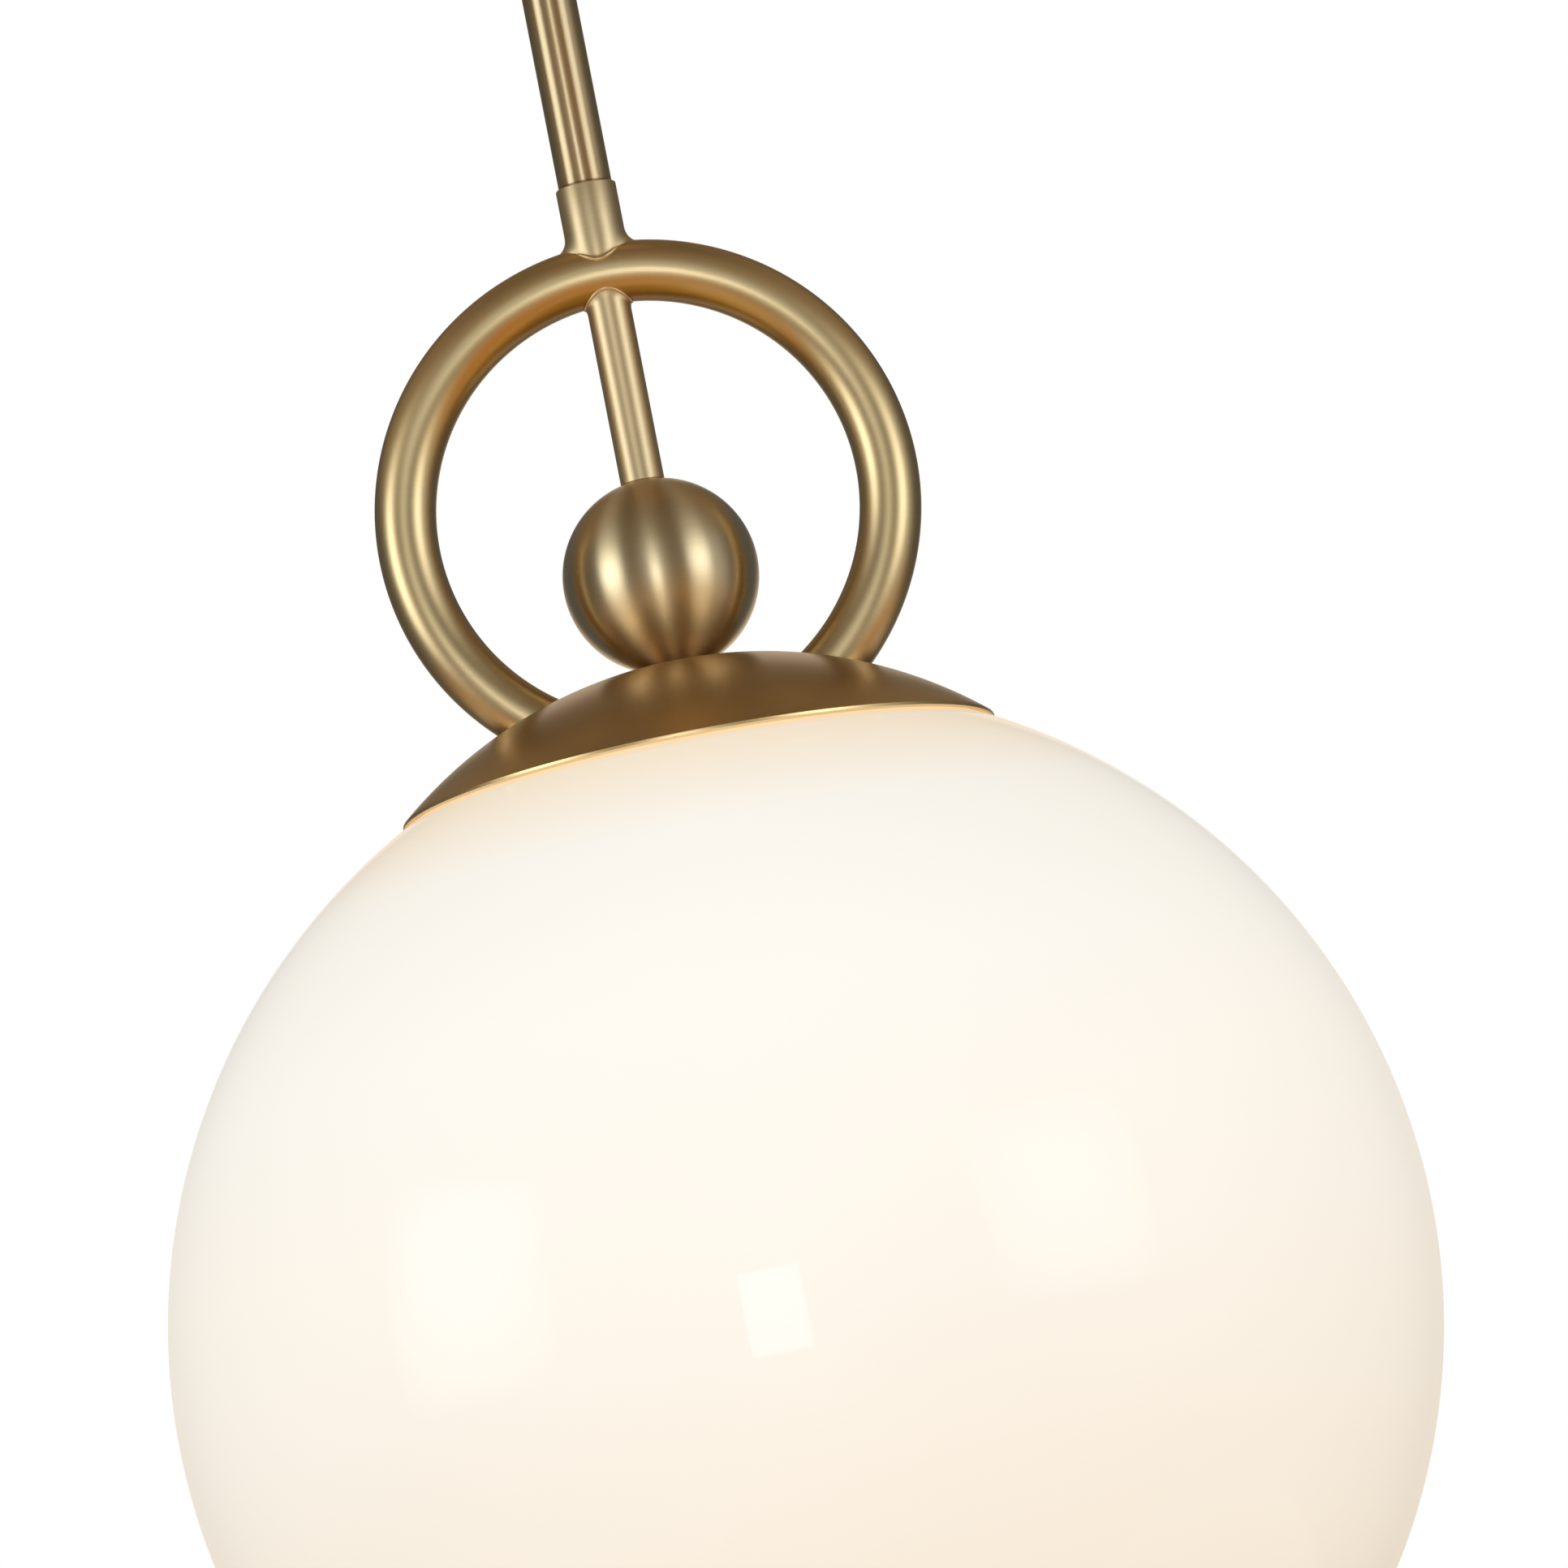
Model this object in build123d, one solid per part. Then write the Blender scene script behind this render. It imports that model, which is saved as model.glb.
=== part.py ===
from build123d import *
import os
from math import asin, cos, degrees, radians, sin, sqrt

# Pendant ceiling light: a canopy with a swivel, two lengths of stem, a ring of bent tube with a spindle and a
# ball inside it, a domed cap and an opal glass globe that screws on under the cap.
# Millimetres. The origin is the centre of the ceiling plane, +Z points up, and the light hangs below it.

# Clearances
THREAD_GAP = 0.05  # screwed pieces of one body, on the radius
FIXED_GAP = 0.05  # pieces of one body that are set into each other
RUNNING_GAP = 0.3  # pieces that move past each other
PIN_GAP = 0.08  # swivel pin in its bore

# Canopy and crossbar
CANOPY_R = 65.0
CANOPY_DEPTH = 36.0
CANOPY_SHEET = 1.5
CANOPY_EDGE_R = 5.0
CROSSBAR_LENGTH = 112.0
CROSSBAR_WIDTH = 22.0
CROSSBAR_THICK = 2.0
CROSSBAR_CORNER_R = 5.5
BOX_SCREW_SPACING = 88.9
BOX_SLOT_R = 2.5
BOX_SLOT_LENGTH = 9.0
STUD_SPACING = 70.0
STUD_R = 2.0
STUD_HOLE_GAP = 0.3
STUD_NUT_FLATS = 7.0
STUD_NUT_HEIGHT = 3.2
STUD_IN_CAP_NUT = 6.6
CAP_NUT_R = 5.5
CAP_NUT_HEIGHT = 11.0
CAP_NUT_EDGE_R = 2.5
CAP_NUT_FLUTES = 24
CAP_NUT_FLUTE_R = 0.45
GROUND_SCREW_X = 24.0
GROUND_HEAD_R = 4.0
GROUND_HEAD_HEIGHT = 2.5
GROUND_DRIVE_FLATS = 4.0
GROUND_DRIVE_DEPTH = 1.2

# Swivel
SWIVEL_R = 16.0
SWIVEL_TOP = 8.5  # flat on top of the ball, above its centre
LINER_WALL = 1.2
LINER_TOP_ANGLE = 80.0  # from straight down
SEAT_WALL = 4.5
SEAT_OPENING_ANGLE = 58.0  # from straight down
SEAT_RISE = 5.0  # wall above the ball's centre
SEAT_FLANGE = 5.0
SEAT_FLANGE_THICK = 2.5
SWIVEL_PIN_R = 2.0
SWIVEL_PIN_HEAD_R = 3.4
SWIVEL_PIN_HEAD = 2.0
SWIVEL_PIN_REACH = 4.5  # into the ball
SWING = 20.0  # tilt each way about each axis, degrees

# Stems and their threaded tubes
STEM_R = 6.5
STEM_LENGTH = 152.4
NIPPLE_R = 5.0  # M10 lamp thread
WIRE_BORE_R = 3.2
NIPPLE_GRIP = 12.0  # in each of the two pieces it joins

# Ring with its collar, spindle and ball
COLLAR_R = 7.3
COLLAR_HEIGHT = 14.2  # above the crown of the ring
COLLAR_SOCKET = 4.0  # depth that the stem sits in
COLLAR_WELD_R = 3.0
COLLAR_WELD_STEPS = 5
COLLAR_EDGE_R = 0.4
RING_R = 58.0  # centreline of the tube
RING_TUBE_R = 7.4
RING_WALL = 1.5
RING_ABOVE_APEX = 38.7  # centre of the ring over the top of the cap
RING_PLUG = 11.0  # height of the plug over the cap, in each end of the ring
RING_SCREW_R = 2.0
RING_SCREW_HEAD_R = 3.8
RING_SCREW_HEAD = 2.4
RING_SCREW_EDGE_R = 0.8
RING_SCREW_DRIVE_FLATS = 2.6
RING_SCREW_DRIVE_DEPTH = 1.2
RING_SCREW_GRIP = 6.0
SPINDLE_R = 5.3
BALL_R = 23.5
BALL_SEAT = 1.65  # hollowed off the ball's underside, so that it sits on the cap

# Cap
DOME_R = 109.6
CAP_RIM_R = 71.6
CAP_WALL = 1.0

# Globe and fitter
GLOBE_R = 150.0
GLASS_WALL = 2.5
GLOBE_RIM_GAP = 0.45  # between the glass and the rim of the cap
SHOULDER_R = 63.0
SHOULDER_EDGE_R = 3.0
NECK_R = 49.75  # 99.5 mm glass thread
NECK_HEIGHT = 5.3
NECK_WALL = 3.0
GASKET = 1.5
GASKET_GAP = 0.2
FITTER_WALL = 1.5
SKIRT_GAP = 0.8  # between the fitter's skirt and the globe's shoulder
WASHER_R = 9.0
WASHER_THICK = 1.2
LAMP_NUT_FLATS = 14.0
LAMP_NUT_HEIGHT = 4.0
SPACER_WALL = 2.2

# Lampholder
SOCKET_R = 19.0
SOCKET_TOP_R = 13.0
SOCKET_SHOULDER = 12.0
SOCKET_GRIP = 9.0  # thread of the spindle's tail in the lampholder
CHAMBER_R = 10.5
CHAMBER_HEIGHT = 13.0
PARTITION = 4.0
SHELL_R = 13.3  # inside of the E26 screw shell
SHELL_WALL = 0.5
SHELL_LENGTH = 24.0
SHELL_TOP_GAP = 2.0  # between the partition and the screw shell
PLUNGER_R = 3.0
PLUNGER_FLANGE = 1.0  # wider than the plunger, on the radius
PLUNGER_OUT = 1.5  # below the partition
BULB_TRAVEL = 1.815  # half a turn of the E26 thread
TERMINAL_X = 6.8
TERMINAL_WIDTH = 4.2
TERMINAL_HEIGHT = 5.0
TERMINAL_GRIP = 2.5  # of the lead

# Lamp
BULB_TIP_R = 4.6
BULB_TIP = 1.5
BULB_TIP_EDGE_R = 0.75
BULB_TIP_GAP = 0.1
BULB_INSULATOR = 3.0
BULB_INSULATOR_R = 11.5
BULB_BASE_R = 12.95
BULB_BASE_WALL = 0.5
BULB_BASE_LENGTH = 22.0
BULB_R = 30.0
BULB_WALL = 1.6
BULB_LENGTH = 110.0
BULB_RIM_DROP = 13.5  # the envelope's mouth over the centre of its ball
BULB_NECK_GRIP = 14.0  # the housing's neck in the base
LED_BOARD = 1.6
LED_BOARD_LEDGE = 2.0

# Wiring
LEAD_R = 1.0
LEAD_X = 1.6
LEAD_BEND_R = 5.0
LEAD_END_BEND_R = 3.0
TAIL_RISE = 10.5  # from the top of the swivel ball to the tails' level stretch
TAIL_BEND_R = 6.0
TAIL_TURN_R = 12.0
WIRE_NUT_R = 6.0
WIRE_NUT_TIP_R = 4.2
WIRE_NUT_BORE_R = 2.0
WIRE_NUT_LENGTH = 18.0
WIRE_NUT_GRIP = 8.0
WIRE_NUT_Y = 42.0
WIRE_NUT_STEP = 17.0

# Heights, worked down from the ceiling
canopy_floor = CANOPY_SHEET - CANOPY_DEPTH
liner_in_r = SWIVEL_R + RUNNING_GAP
liner_out_r = liner_in_r + LINER_WALL
seat_in_r = liner_out_r + FIXED_GAP
seat_out_r = seat_in_r + SEAT_WALL
swivel_z = canopy_floor + seat_in_r * cos(radians(SEAT_OPENING_ANGLE))
seat_opening_r = seat_in_r * sin(radians(SEAT_OPENING_ANGLE))
swivel_top = swivel_z + SWIVEL_TOP
stem_top = swivel_z - sqrt(SWIVEL_R**2 - STEM_R**2)
stem_joint = stem_top - STEM_LENGTH
stem_end = stem_joint - STEM_LENGTH
collar_top = stem_end + COLLAR_SOCKET
ring_top = collar_top - COLLAR_HEIGHT
ring_z = ring_top - RING_TUBE_R - RING_R
apex_z = ring_z - RING_ABOVE_APEX
dome_z = apex_z - DOME_R
ball_z = apex_z + BALL_R - BALL_SEAT
spindle_seat = ball_z + sqrt(BALL_R**2 - SPINDLE_R**2)

# The dome's inside, its rim and the globe that hangs just clear of it
dome_in_r = DOME_R - CAP_WALL
rim_angle = asin(CAP_RIM_R / DOME_R)
rim_in_r = dome_in_r * sin(rim_angle)
rim_in_z = dome_z + dome_in_r * cos(rim_angle)
globe_z = rim_in_z - sqrt((GLOBE_R + GLOBE_RIM_GAP) ** 2 - rim_in_r**2)
shoulder_z = globe_z + sqrt(GLOBE_R**2 - SHOULDER_R**2)
neck_top = shoulder_z + NECK_HEIGHT
neck_in_r = NECK_R - NECK_WALL
fitter_floor = neck_top + GASKET + GASKET_GAP
fitter_top = fitter_floor + FITTER_WALL
skirt_in_r = NECK_R + RUNNING_GAP
skirt_out_r = skirt_in_r + FITTER_WALL

# The stack under the cap, on the spindle's tail
tail_r = NIPPLE_R - THREAD_GAP
washer_top = dome_z + sqrt(dome_in_r**2 - WASHER_R**2) - FIXED_GAP
cap_nut_top = washer_top - WASHER_THICK
cap_nut_low = cap_nut_top - LAMP_NUT_HEIGHT
fitter_nut_low = fitter_floor - LAMP_NUT_HEIGHT
socket_top = fitter_nut_low
tail_end = socket_top - SOCKET_GRIP
chamber_floor = tail_end - CHAMBER_HEIGHT
cavity_top = chamber_floor - PARTITION
shell_top = cavity_top - SHELL_TOP_GAP
shell_low = shell_top - SHELL_LENGTH
shell_out_r = SHELL_R + SHELL_WALL
plunger_low = cavity_top - PLUNGER_OUT

# The lamp, from its tip down
bulb_top = plunger_low - BULB_TIP_GAP
bulb_tip_low = bulb_top - BULB_TIP
bulb_base_top = bulb_tip_low - BULB_INSULATOR
bulb_base_low = bulb_base_top - BULB_BASE_LENGTH
bulb_low = bulb_top - BULB_LENGTH
bulb_ball_z = bulb_low + BULB_R
bulb_rim_z = bulb_ball_z + BULB_RIM_DROP
bulb_rim_r = sqrt(BULB_R**2 - BULB_RIM_DROP**2)

# Where the ring's centreline goes into the dome
ring_to_dome = ring_z - dome_z
entry_rise = (DOME_R**2 - RING_R**2 + ring_to_dome**2) / (2 * ring_to_dome)
entry_angle = degrees(asin(sqrt(DOME_R**2 - entry_rise**2) / DOME_R))
plug_top = dome_z + entry_rise + RING_PLUG

# Wiring levels in the canopy
tail_z = swivel_top + TAIL_RISE
nut_mouth = canopy_floor + WIRE_NUT_LENGTH

LOW = (Align.CENTER, Align.CENTER, Align.MIN)


def save(shape, name):
    """Write one piece to its own file."""
    export_step(shape, f"parts/{name}.step")


def rod(radius, low, high, x=0.0, y=0.0):
    """An upright round bar between two heights."""
    return Pos(x, y, low) * Cylinder(radius, high - low, align=LOW)


def tube(outer, inner, low, high, x=0.0, y=0.0):
    """An upright tube between two heights."""
    return rod(outer, low, high, x, y) - rod(inner, low, high, x, y)


def hex_bar(flats, low, high, x=0.0, y=0.0):
    """An upright hexagonal bar."""
    outline = Pos(x, y, low) * RegularPolygon(flats / 2, 6, major_radius=False)
    return extrude(outline, high - low)


def ball(radius, z):
    return Pos(0, 0, z) * Sphere(radius)


def on_circle(radius, z, angle):
    """The point on a circle in the XZ plane, with its angle in degrees from straight up."""
    return (radius * sin(radians(angle)), 0, z + radius * cos(radians(angle)))


def arc(radius, z, start, end):
    """An arc in the XZ plane about a centre on the Z axis, between two angles from straight up."""
    middle = (start + end) / 2
    return ThreePointArc(*(on_circle(radius, z, a) for a in (start, middle, end)))


def turned(*edges):
    """A solid turned about Z from the edges of its half section."""
    return revolve(make_face(edges), Axis.Z)


def turned_outline(points):
    """A solid turned about Z from the (radius, height) corners of its half section."""
    corners = [(r, 0, z) for r, z in points]
    return turned(Polyline(*corners, close=True))


def round_edges(shape, radius, z):
    """The round edges of a turned piece with this radius at this height."""
    return [
        e
        for e in shape.edges().filter_by(GeomType.CIRCLE)
        if abs(e.radius - radius) < 0.01 and abs(e.arc_center.Z - z) < 0.01
    ]


def ring_torus(tube_r):
    return Pos(0, 0, ring_z) * Rot(90, 0, 0) * Torus(RING_R, tube_r)


def at_ring_ends(shape):
    """Two copies of a shape drawn up the Z axis of the dome, turned to the ring's two ends."""
    return [Pos(0, 0, dome_z) * Rot(0, side * entry_angle, 0) * shape for side in (-1, 1)]


def lead(points, radii):
    """A round wire along straight runs joined by arcs."""
    path = FilletPolyline(*points, radius=radii)
    section = Plane(origin=path @ 0, z_dir=path % 0) * Circle(LEAD_R)
    wire = sweep(section, path)
    print("lead", round(path.length, 1), "mm, bends", radii)
    return wire


def make_canopy():
    floor = -CANOPY_DEPTH
    pan = rod(CANOPY_R, floor, 0)
    pan = fillet(round_edges(pan, CANOPY_R, floor), CANOPY_EDGE_R)
    inner_r = CANOPY_R - CANOPY_SHEET
    hollow = rod(inner_r, canopy_floor, 0)
    hollow = fillet(round_edges(hollow, inner_r, canopy_floor), CANOPY_EDGE_R - CANOPY_SHEET)
    pan -= hollow
    pan -= rod(seat_opening_r + RUNNING_GAP, floor, canopy_floor)
    for side in (-1, 1):
        pan -= rod(STUD_R + STUD_HOLE_GAP, floor, canopy_floor, side * STUD_SPACING / 2)
    save(pan, "canopy")


def make_crossbar():
    bar = Pos(0, 0, -CROSSBAR_THICK) * Box(CROSSBAR_LENGTH, CROSSBAR_WIDTH, CROSSBAR_THICK, align=LOW)
    bar = fillet(bar.edges().filter_by(Axis.Z), CROSSBAR_CORNER_R)
    for side in (-1, 1):
        slot = SlotOverall(BOX_SLOT_LENGTH, 2 * BOX_SLOT_R)
        bar -= extrude(Pos(side * BOX_SCREW_SPACING / 2, 0, -CROSSBAR_THICK) * slot, CROSSBAR_THICK)
        bar -= rod(STUD_R, -CROSSBAR_THICK, 0, side * STUD_SPACING / 2)
    bar -= rod(STUD_R, -CROSSBAR_THICK, 0, GROUND_SCREW_X)
    save(bar, "crossbar")


def make_canopy_fixings():
    studs = []
    lock_nuts = []
    cap_nuts = []
    nut_low = -CANOPY_DEPTH - CAP_NUT_HEIGHT
    stud_low = -CANOPY_DEPTH - STUD_IN_CAP_NUT
    stud_r = STUD_R - THREAD_GAP
    for side in (-1, 1):
        x = side * STUD_SPACING / 2
        studs.append(rod(stud_r, stud_low, -FIXED_GAP, x))
        nut = hex_bar(STUD_NUT_FLATS, -CROSSBAR_THICK - STUD_NUT_HEIGHT, -CROSSBAR_THICK, x)
        lock_nuts.append(nut - rod(STUD_R, -CROSSBAR_THICK - STUD_NUT_HEIGHT, -CROSSBAR_THICK, x))
        knob = rod(CAP_NUT_R, nut_low, -CANOPY_DEPTH)
        knob = fillet(round_edges(knob, CAP_NUT_R, nut_low), CAP_NUT_EDGE_R)
        for spot in PolarLocations(CAP_NUT_R, CAP_NUT_FLUTES):
            knob -= spot * rod(CAP_NUT_FLUTE_R, nut_low, -CANOPY_DEPTH)
        knob -= rod(STUD_R, stud_low - FIXED_GAP, -CANOPY_DEPTH)
        cap_nuts.append(Pos(x, 0, 0) * knob)
    save(Compound(studs), "crossbar_studs")
    save(Compound(lock_nuts), "stud_nuts")
    save(Compound(cap_nuts), "canopy_cap_nuts")
    head_low = -CROSSBAR_THICK - GROUND_HEAD_HEIGHT
    screw = rod(stud_r, -CROSSBAR_THICK, -FIXED_GAP, GROUND_SCREW_X)
    screw += rod(GROUND_HEAD_R, head_low, -CROSSBAR_THICK, GROUND_SCREW_X)
    drive = hex_bar(GROUND_DRIVE_FLATS, head_low, head_low + GROUND_DRIVE_DEPTH, GROUND_SCREW_X)
    save(screw - drive, "ground_screw")


def make_swivel_seat():
    top = swivel_z + SEAT_RISE
    cup = rod(seat_out_r, canopy_floor, top)
    cup += rod(seat_out_r + SEAT_FLANGE, canopy_floor, canopy_floor + SEAT_FLANGE_THICK)
    cup -= ball(seat_in_r, swivel_z)
    cup -= rod(seat_in_r, swivel_z, top)
    cup -= Pos(0, 0, swivel_z) * Rot(0, 90, 0) * Cylinder(SWIVEL_PIN_R + PIN_GAP, 2 * seat_out_r, align=LOW)
    save(cup, "swivel_seat")
    low, high = 180 - SEAT_OPENING_ANGLE, 180 - LINER_TOP_ANGLE
    liner = turned(
        arc(liner_out_r, swivel_z, low, high),
        Line(on_circle(liner_out_r, swivel_z, high), on_circle(liner_in_r, swivel_z, high)),
        arc(liner_in_r, swivel_z, high, low),
        Line(on_circle(liner_in_r, swivel_z, low), on_circle(liner_out_r, swivel_z, low)),
    )
    save(liner, "swivel_liner")


def make_swivel_pin():
    end = SWIVEL_R - SWIVEL_PIN_REACH
    head = seat_out_r + FIXED_GAP
    pin = Pos(end, 0, 0) * Rot(0, 90, 0) * Cylinder(SWIVEL_PIN_R, head - end, align=LOW)
    pin += Pos(head, 0, 0) * Rot(0, 90, 0) * Cylinder(SWIVEL_PIN_HEAD_R, SWIVEL_PIN_HEAD, align=LOW)
    save(Pos(0, 0, swivel_z) * pin, "swivel_pin")


def make_swivel_ball():
    body = ball(SWIVEL_R, swivel_z)
    body -= rod(SWIVEL_R, swivel_top, swivel_top + SWIVEL_R)
    body -= rod(SWIVEL_R, stem_top - SWIVEL_R, stem_top)
    body -= rod(WIRE_BORE_R, swivel_z - SWIVEL_R, swivel_top)
    body -= rod(NIPPLE_R, swivel_z - SWIVEL_R, stem_top + NIPPLE_GRIP)
    # The slot takes the pin as the ball tilts about Y.
    reach = SWIVEL_R - SWIVEL_PIN_REACH
    floor = reach * cos(radians(SWING)) - SWIVEL_PIN_R * sin(radians(SWING)) - RUNNING_GAP
    rise = SWIVEL_R * sin(radians(SWING)) + SWIVEL_PIN_R + RUNNING_GAP
    width = 2 * (SWIVEL_PIN_R + PIN_GAP)
    slot = Box(SWIVEL_R, width, 2 * rise, align=(Align.MIN, Align.CENTER, Align.CENTER))
    body -= Pos(floor, 0, swivel_z) * slot
    save(body, "swivel_ball")


def make_stems():
    save(tube(STEM_R, NIPPLE_R, stem_joint, stem_top), "upper_stem")
    save(tube(STEM_R, NIPPLE_R, stem_end, stem_joint), "lower_stem")
    for name, level in (("swivel_nipple", stem_top), ("stem_nipple", stem_joint)):
        save(tube(tail_r, WIRE_BORE_R, level - NIPPLE_GRIP, level + NIPPLE_GRIP), name)
    nipple_low = ring_top - RING_WALL
    save(tube(tail_r, WIRE_BORE_R, nipple_low, stem_end + NIPPLE_GRIP), "collar_nipple")


def weld_flare():
    """The brazed foot of the collar: a concave flare along the ring, no wider than its tube."""
    sections = [Pos(0, 0, ring_z + RING_R) * Ellipse(COLLAR_R + COLLAR_WELD_R, COLLAR_R)]
    for step in range(COLLAR_WELD_STEPS + 1):
        turn = radians(90 * step / COLLAR_WELD_STEPS)
        spread = COLLAR_R + COLLAR_WELD_R * (1 - sin(turn))
        sections.append(Pos(0, 0, ring_top + COLLAR_WELD_R * (1 - cos(turn))) * Ellipse(spread, COLLAR_R))
    return loft(sections, ruled=True)


def make_ring():
    ring = ring_torus(RING_TUBE_R) - ring_torus(RING_TUBE_R - RING_WALL)
    ring -= ball(DOME_R, dome_z)
    ring -= rod(NIPPLE_R, ring_z + RING_R, collar_top)
    ring -= rod(WIRE_BORE_R, ring_z, ring_z + RING_R)
    save(ring, "ring")


def make_ring_collar():
    collar = rod(COLLAR_R, ring_z + RING_R, collar_top)
    collar = fillet(round_edges(collar, COLLAR_R, collar_top), COLLAR_EDGE_R)
    collar += weld_flare()
    collar -= ring_torus(RING_TUBE_R)
    collar -= rod(STEM_R + FIXED_GAP, stem_end, collar_top)
    collar -= rod(NIPPLE_R, ring_z + RING_R, collar_top)
    save(collar, "ring_collar")


def make_ring_ends():
    depth = 4 * RING_TUBE_R
    below = Pos(0, 0, plug_top - 2 * RING_R) * Box(4 * RING_R, depth, 2 * RING_R, align=LOW)
    plugs = ring_torus(RING_TUBE_R - RING_WALL - FIXED_GAP) & below
    plugs -= ball(DOME_R, dome_z)
    for hole in at_ring_ends(rod(RING_SCREW_R, dome_in_r, DOME_R + RING_SCREW_GRIP + FIXED_GAP)):
        plugs -= hole
    save(plugs, "ring_end_plugs")
    head_top = sqrt(dome_in_r**2 - RING_SCREW_HEAD_R**2) - FIXED_GAP
    head_low = head_top - RING_SCREW_HEAD
    screw = rod(RING_SCREW_HEAD_R, head_low, head_top)
    screw = fillet(round_edges(screw, RING_SCREW_HEAD_R, head_low), RING_SCREW_EDGE_R)
    screw += rod(RING_SCREW_R - THREAD_GAP, head_top, DOME_R + RING_SCREW_GRIP)
    screw -= hex_bar(RING_SCREW_DRIVE_FLATS, head_low, head_low + RING_SCREW_DRIVE_DEPTH)
    save(Compound(at_ring_ends(screw)), "ring_screws")


def make_spindle():
    spindle = rod(SPINDLE_R, spindle_seat, ring_z + RING_R)
    spindle -= ring_torus(RING_TUBE_R)
    spindle += rod(tail_r, tail_end, spindle_seat)
    spindle -= rod(WIRE_BORE_R, tail_end, ring_z + RING_R)
    save(spindle, "spindle")


def make_centre_ball():
    body = ball(BALL_R, ball_z)
    body -= rod(BALL_R, spindle_seat, spindle_seat + BALL_R)
    body -= rod(NIPPLE_R, ball_z - BALL_R, spindle_seat)
    body -= ball(DOME_R, dome_z)
    save(body, "centre_ball")


def make_cap():
    rim = degrees(rim_angle)
    top_out = degrees(asin(NIPPLE_R / DOME_R))
    top_in = degrees(asin(NIPPLE_R / dome_in_r))
    cap = turned(
        arc(DOME_R, dome_z, top_out, rim),
        Line(on_circle(DOME_R, dome_z, rim), on_circle(dome_in_r, dome_z, rim)),
        arc(dome_in_r, dome_z, rim, top_in),
        Line(on_circle(dome_in_r, dome_z, top_in), on_circle(DOME_R, dome_z, top_out)),
    )
    for hole in at_ring_ends(rod(RING_SCREW_R + FIXED_GAP, dome_in_r - CAP_WALL, DOME_R + CAP_WALL)):
        cap -= hole
    save(cap, "cap")


def make_cap_stack():
    save(tube(WASHER_R, NIPPLE_R, cap_nut_top, washer_top), "cap_washer")
    for name, low in (("cap_nut", cap_nut_low), ("fitter_nut", fitter_nut_low)):
        high = low + LAMP_NUT_HEIGHT
        save(hex_bar(LAMP_NUT_FLATS, low, high) - rod(NIPPLE_R, low, high), name)
    save(tube(NIPPLE_R + SPACER_WALL, NIPPLE_R, fitter_top, cap_nut_low), "fitter_spacer")


def make_fitter():
    pan = rod(skirt_out_r, shoulder_z + SKIRT_GAP, fitter_top)
    pan -= rod(skirt_in_r, shoulder_z + SKIRT_GAP, fitter_floor)
    pan -= rod(NIPPLE_R, fitter_floor, fitter_top)
    pan &= ball(dome_in_r - RUNNING_GAP, dome_z)
    save(pan, "globe_fitter")


def make_globe():
    seal = tube(NECK_R, neck_in_r, neck_top, neck_top + GASKET)
    save(seal, "globe_gasket")
    inner_r = GLOBE_R - GLASS_WALL
    under = shoulder_z - GLASS_WALL
    shoulder_angle = degrees(asin(SHOULDER_R / GLOBE_R))
    under_r = sqrt(inner_r**2 - (under - globe_z) ** 2)
    under_angle = degrees(asin(under_r / inner_r))
    shoulder_corner = on_circle(GLOBE_R, globe_z, shoulder_angle)
    under_corner = on_circle(inner_r, globe_z, under_angle)
    glass = turned(
        arc(GLOBE_R, globe_z, 180, shoulder_angle),
        Polyline(
            shoulder_corner,
            (NECK_R, 0, shoulder_z),
            (NECK_R, 0, neck_top),
            (neck_in_r, 0, neck_top),
            (neck_in_r, 0, under),
            under_corner,
        ),
        arc(inner_r, globe_z, under_angle, 180),
        Line(on_circle(inner_r, globe_z, 180), on_circle(GLOBE_R, globe_z, 180)),
    )
    glass = fillet(round_edges(glass, SHOULDER_R, shoulder_z), SHOULDER_EDGE_R)
    save(glass, "globe")


def make_socket():
    cavity_low = shell_low - SHELL_WALL
    flare_low = socket_top - SOCKET_SHOULDER
    body = turned_outline(
        [
            (0, socket_top),
            (SOCKET_TOP_R, socket_top),
            (SOCKET_R, flare_low),
            (SOCKET_R, cavity_low),
            (0, cavity_low),
        ]
    )
    body -= rod(NIPPLE_R, tail_end, socket_top)
    body -= rod(CHAMBER_R, chamber_floor, tail_end)
    body -= rod(PLUNGER_R + RUNNING_GAP, cavity_top, chamber_floor)
    body -= rod(shell_out_r + FIXED_GAP, cavity_low, cavity_top)
    save(body, "socket_body")
    save(tube(shell_out_r, SHELL_R, shell_low, shell_top), "socket_shell")
    terminals = []
    for side in (-1, 1):
        block = Box(TERMINAL_WIDTH, TERMINAL_WIDTH, TERMINAL_HEIGHT, align=LOW)
        block = Pos(side * TERMINAL_X, 0, chamber_floor) * block
        top = chamber_floor + TERMINAL_HEIGHT
        terminals.append(block - rod(LEAD_R + FIXED_GAP, top - TERMINAL_GRIP - FIXED_GAP, top, side * TERMINAL_X))
    save(Compound(terminals), "socket_terminals")
    flange_low = chamber_floor + BULB_TRAVEL + PIN_GAP
    plunger = rod(PLUNGER_R, plunger_low, flange_low)
    plunger += rod(PLUNGER_R + PLUNGER_FLANGE, flange_low, flange_low + PLUNGER_FLANGE)
    save(plunger, "centre_contact")


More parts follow.
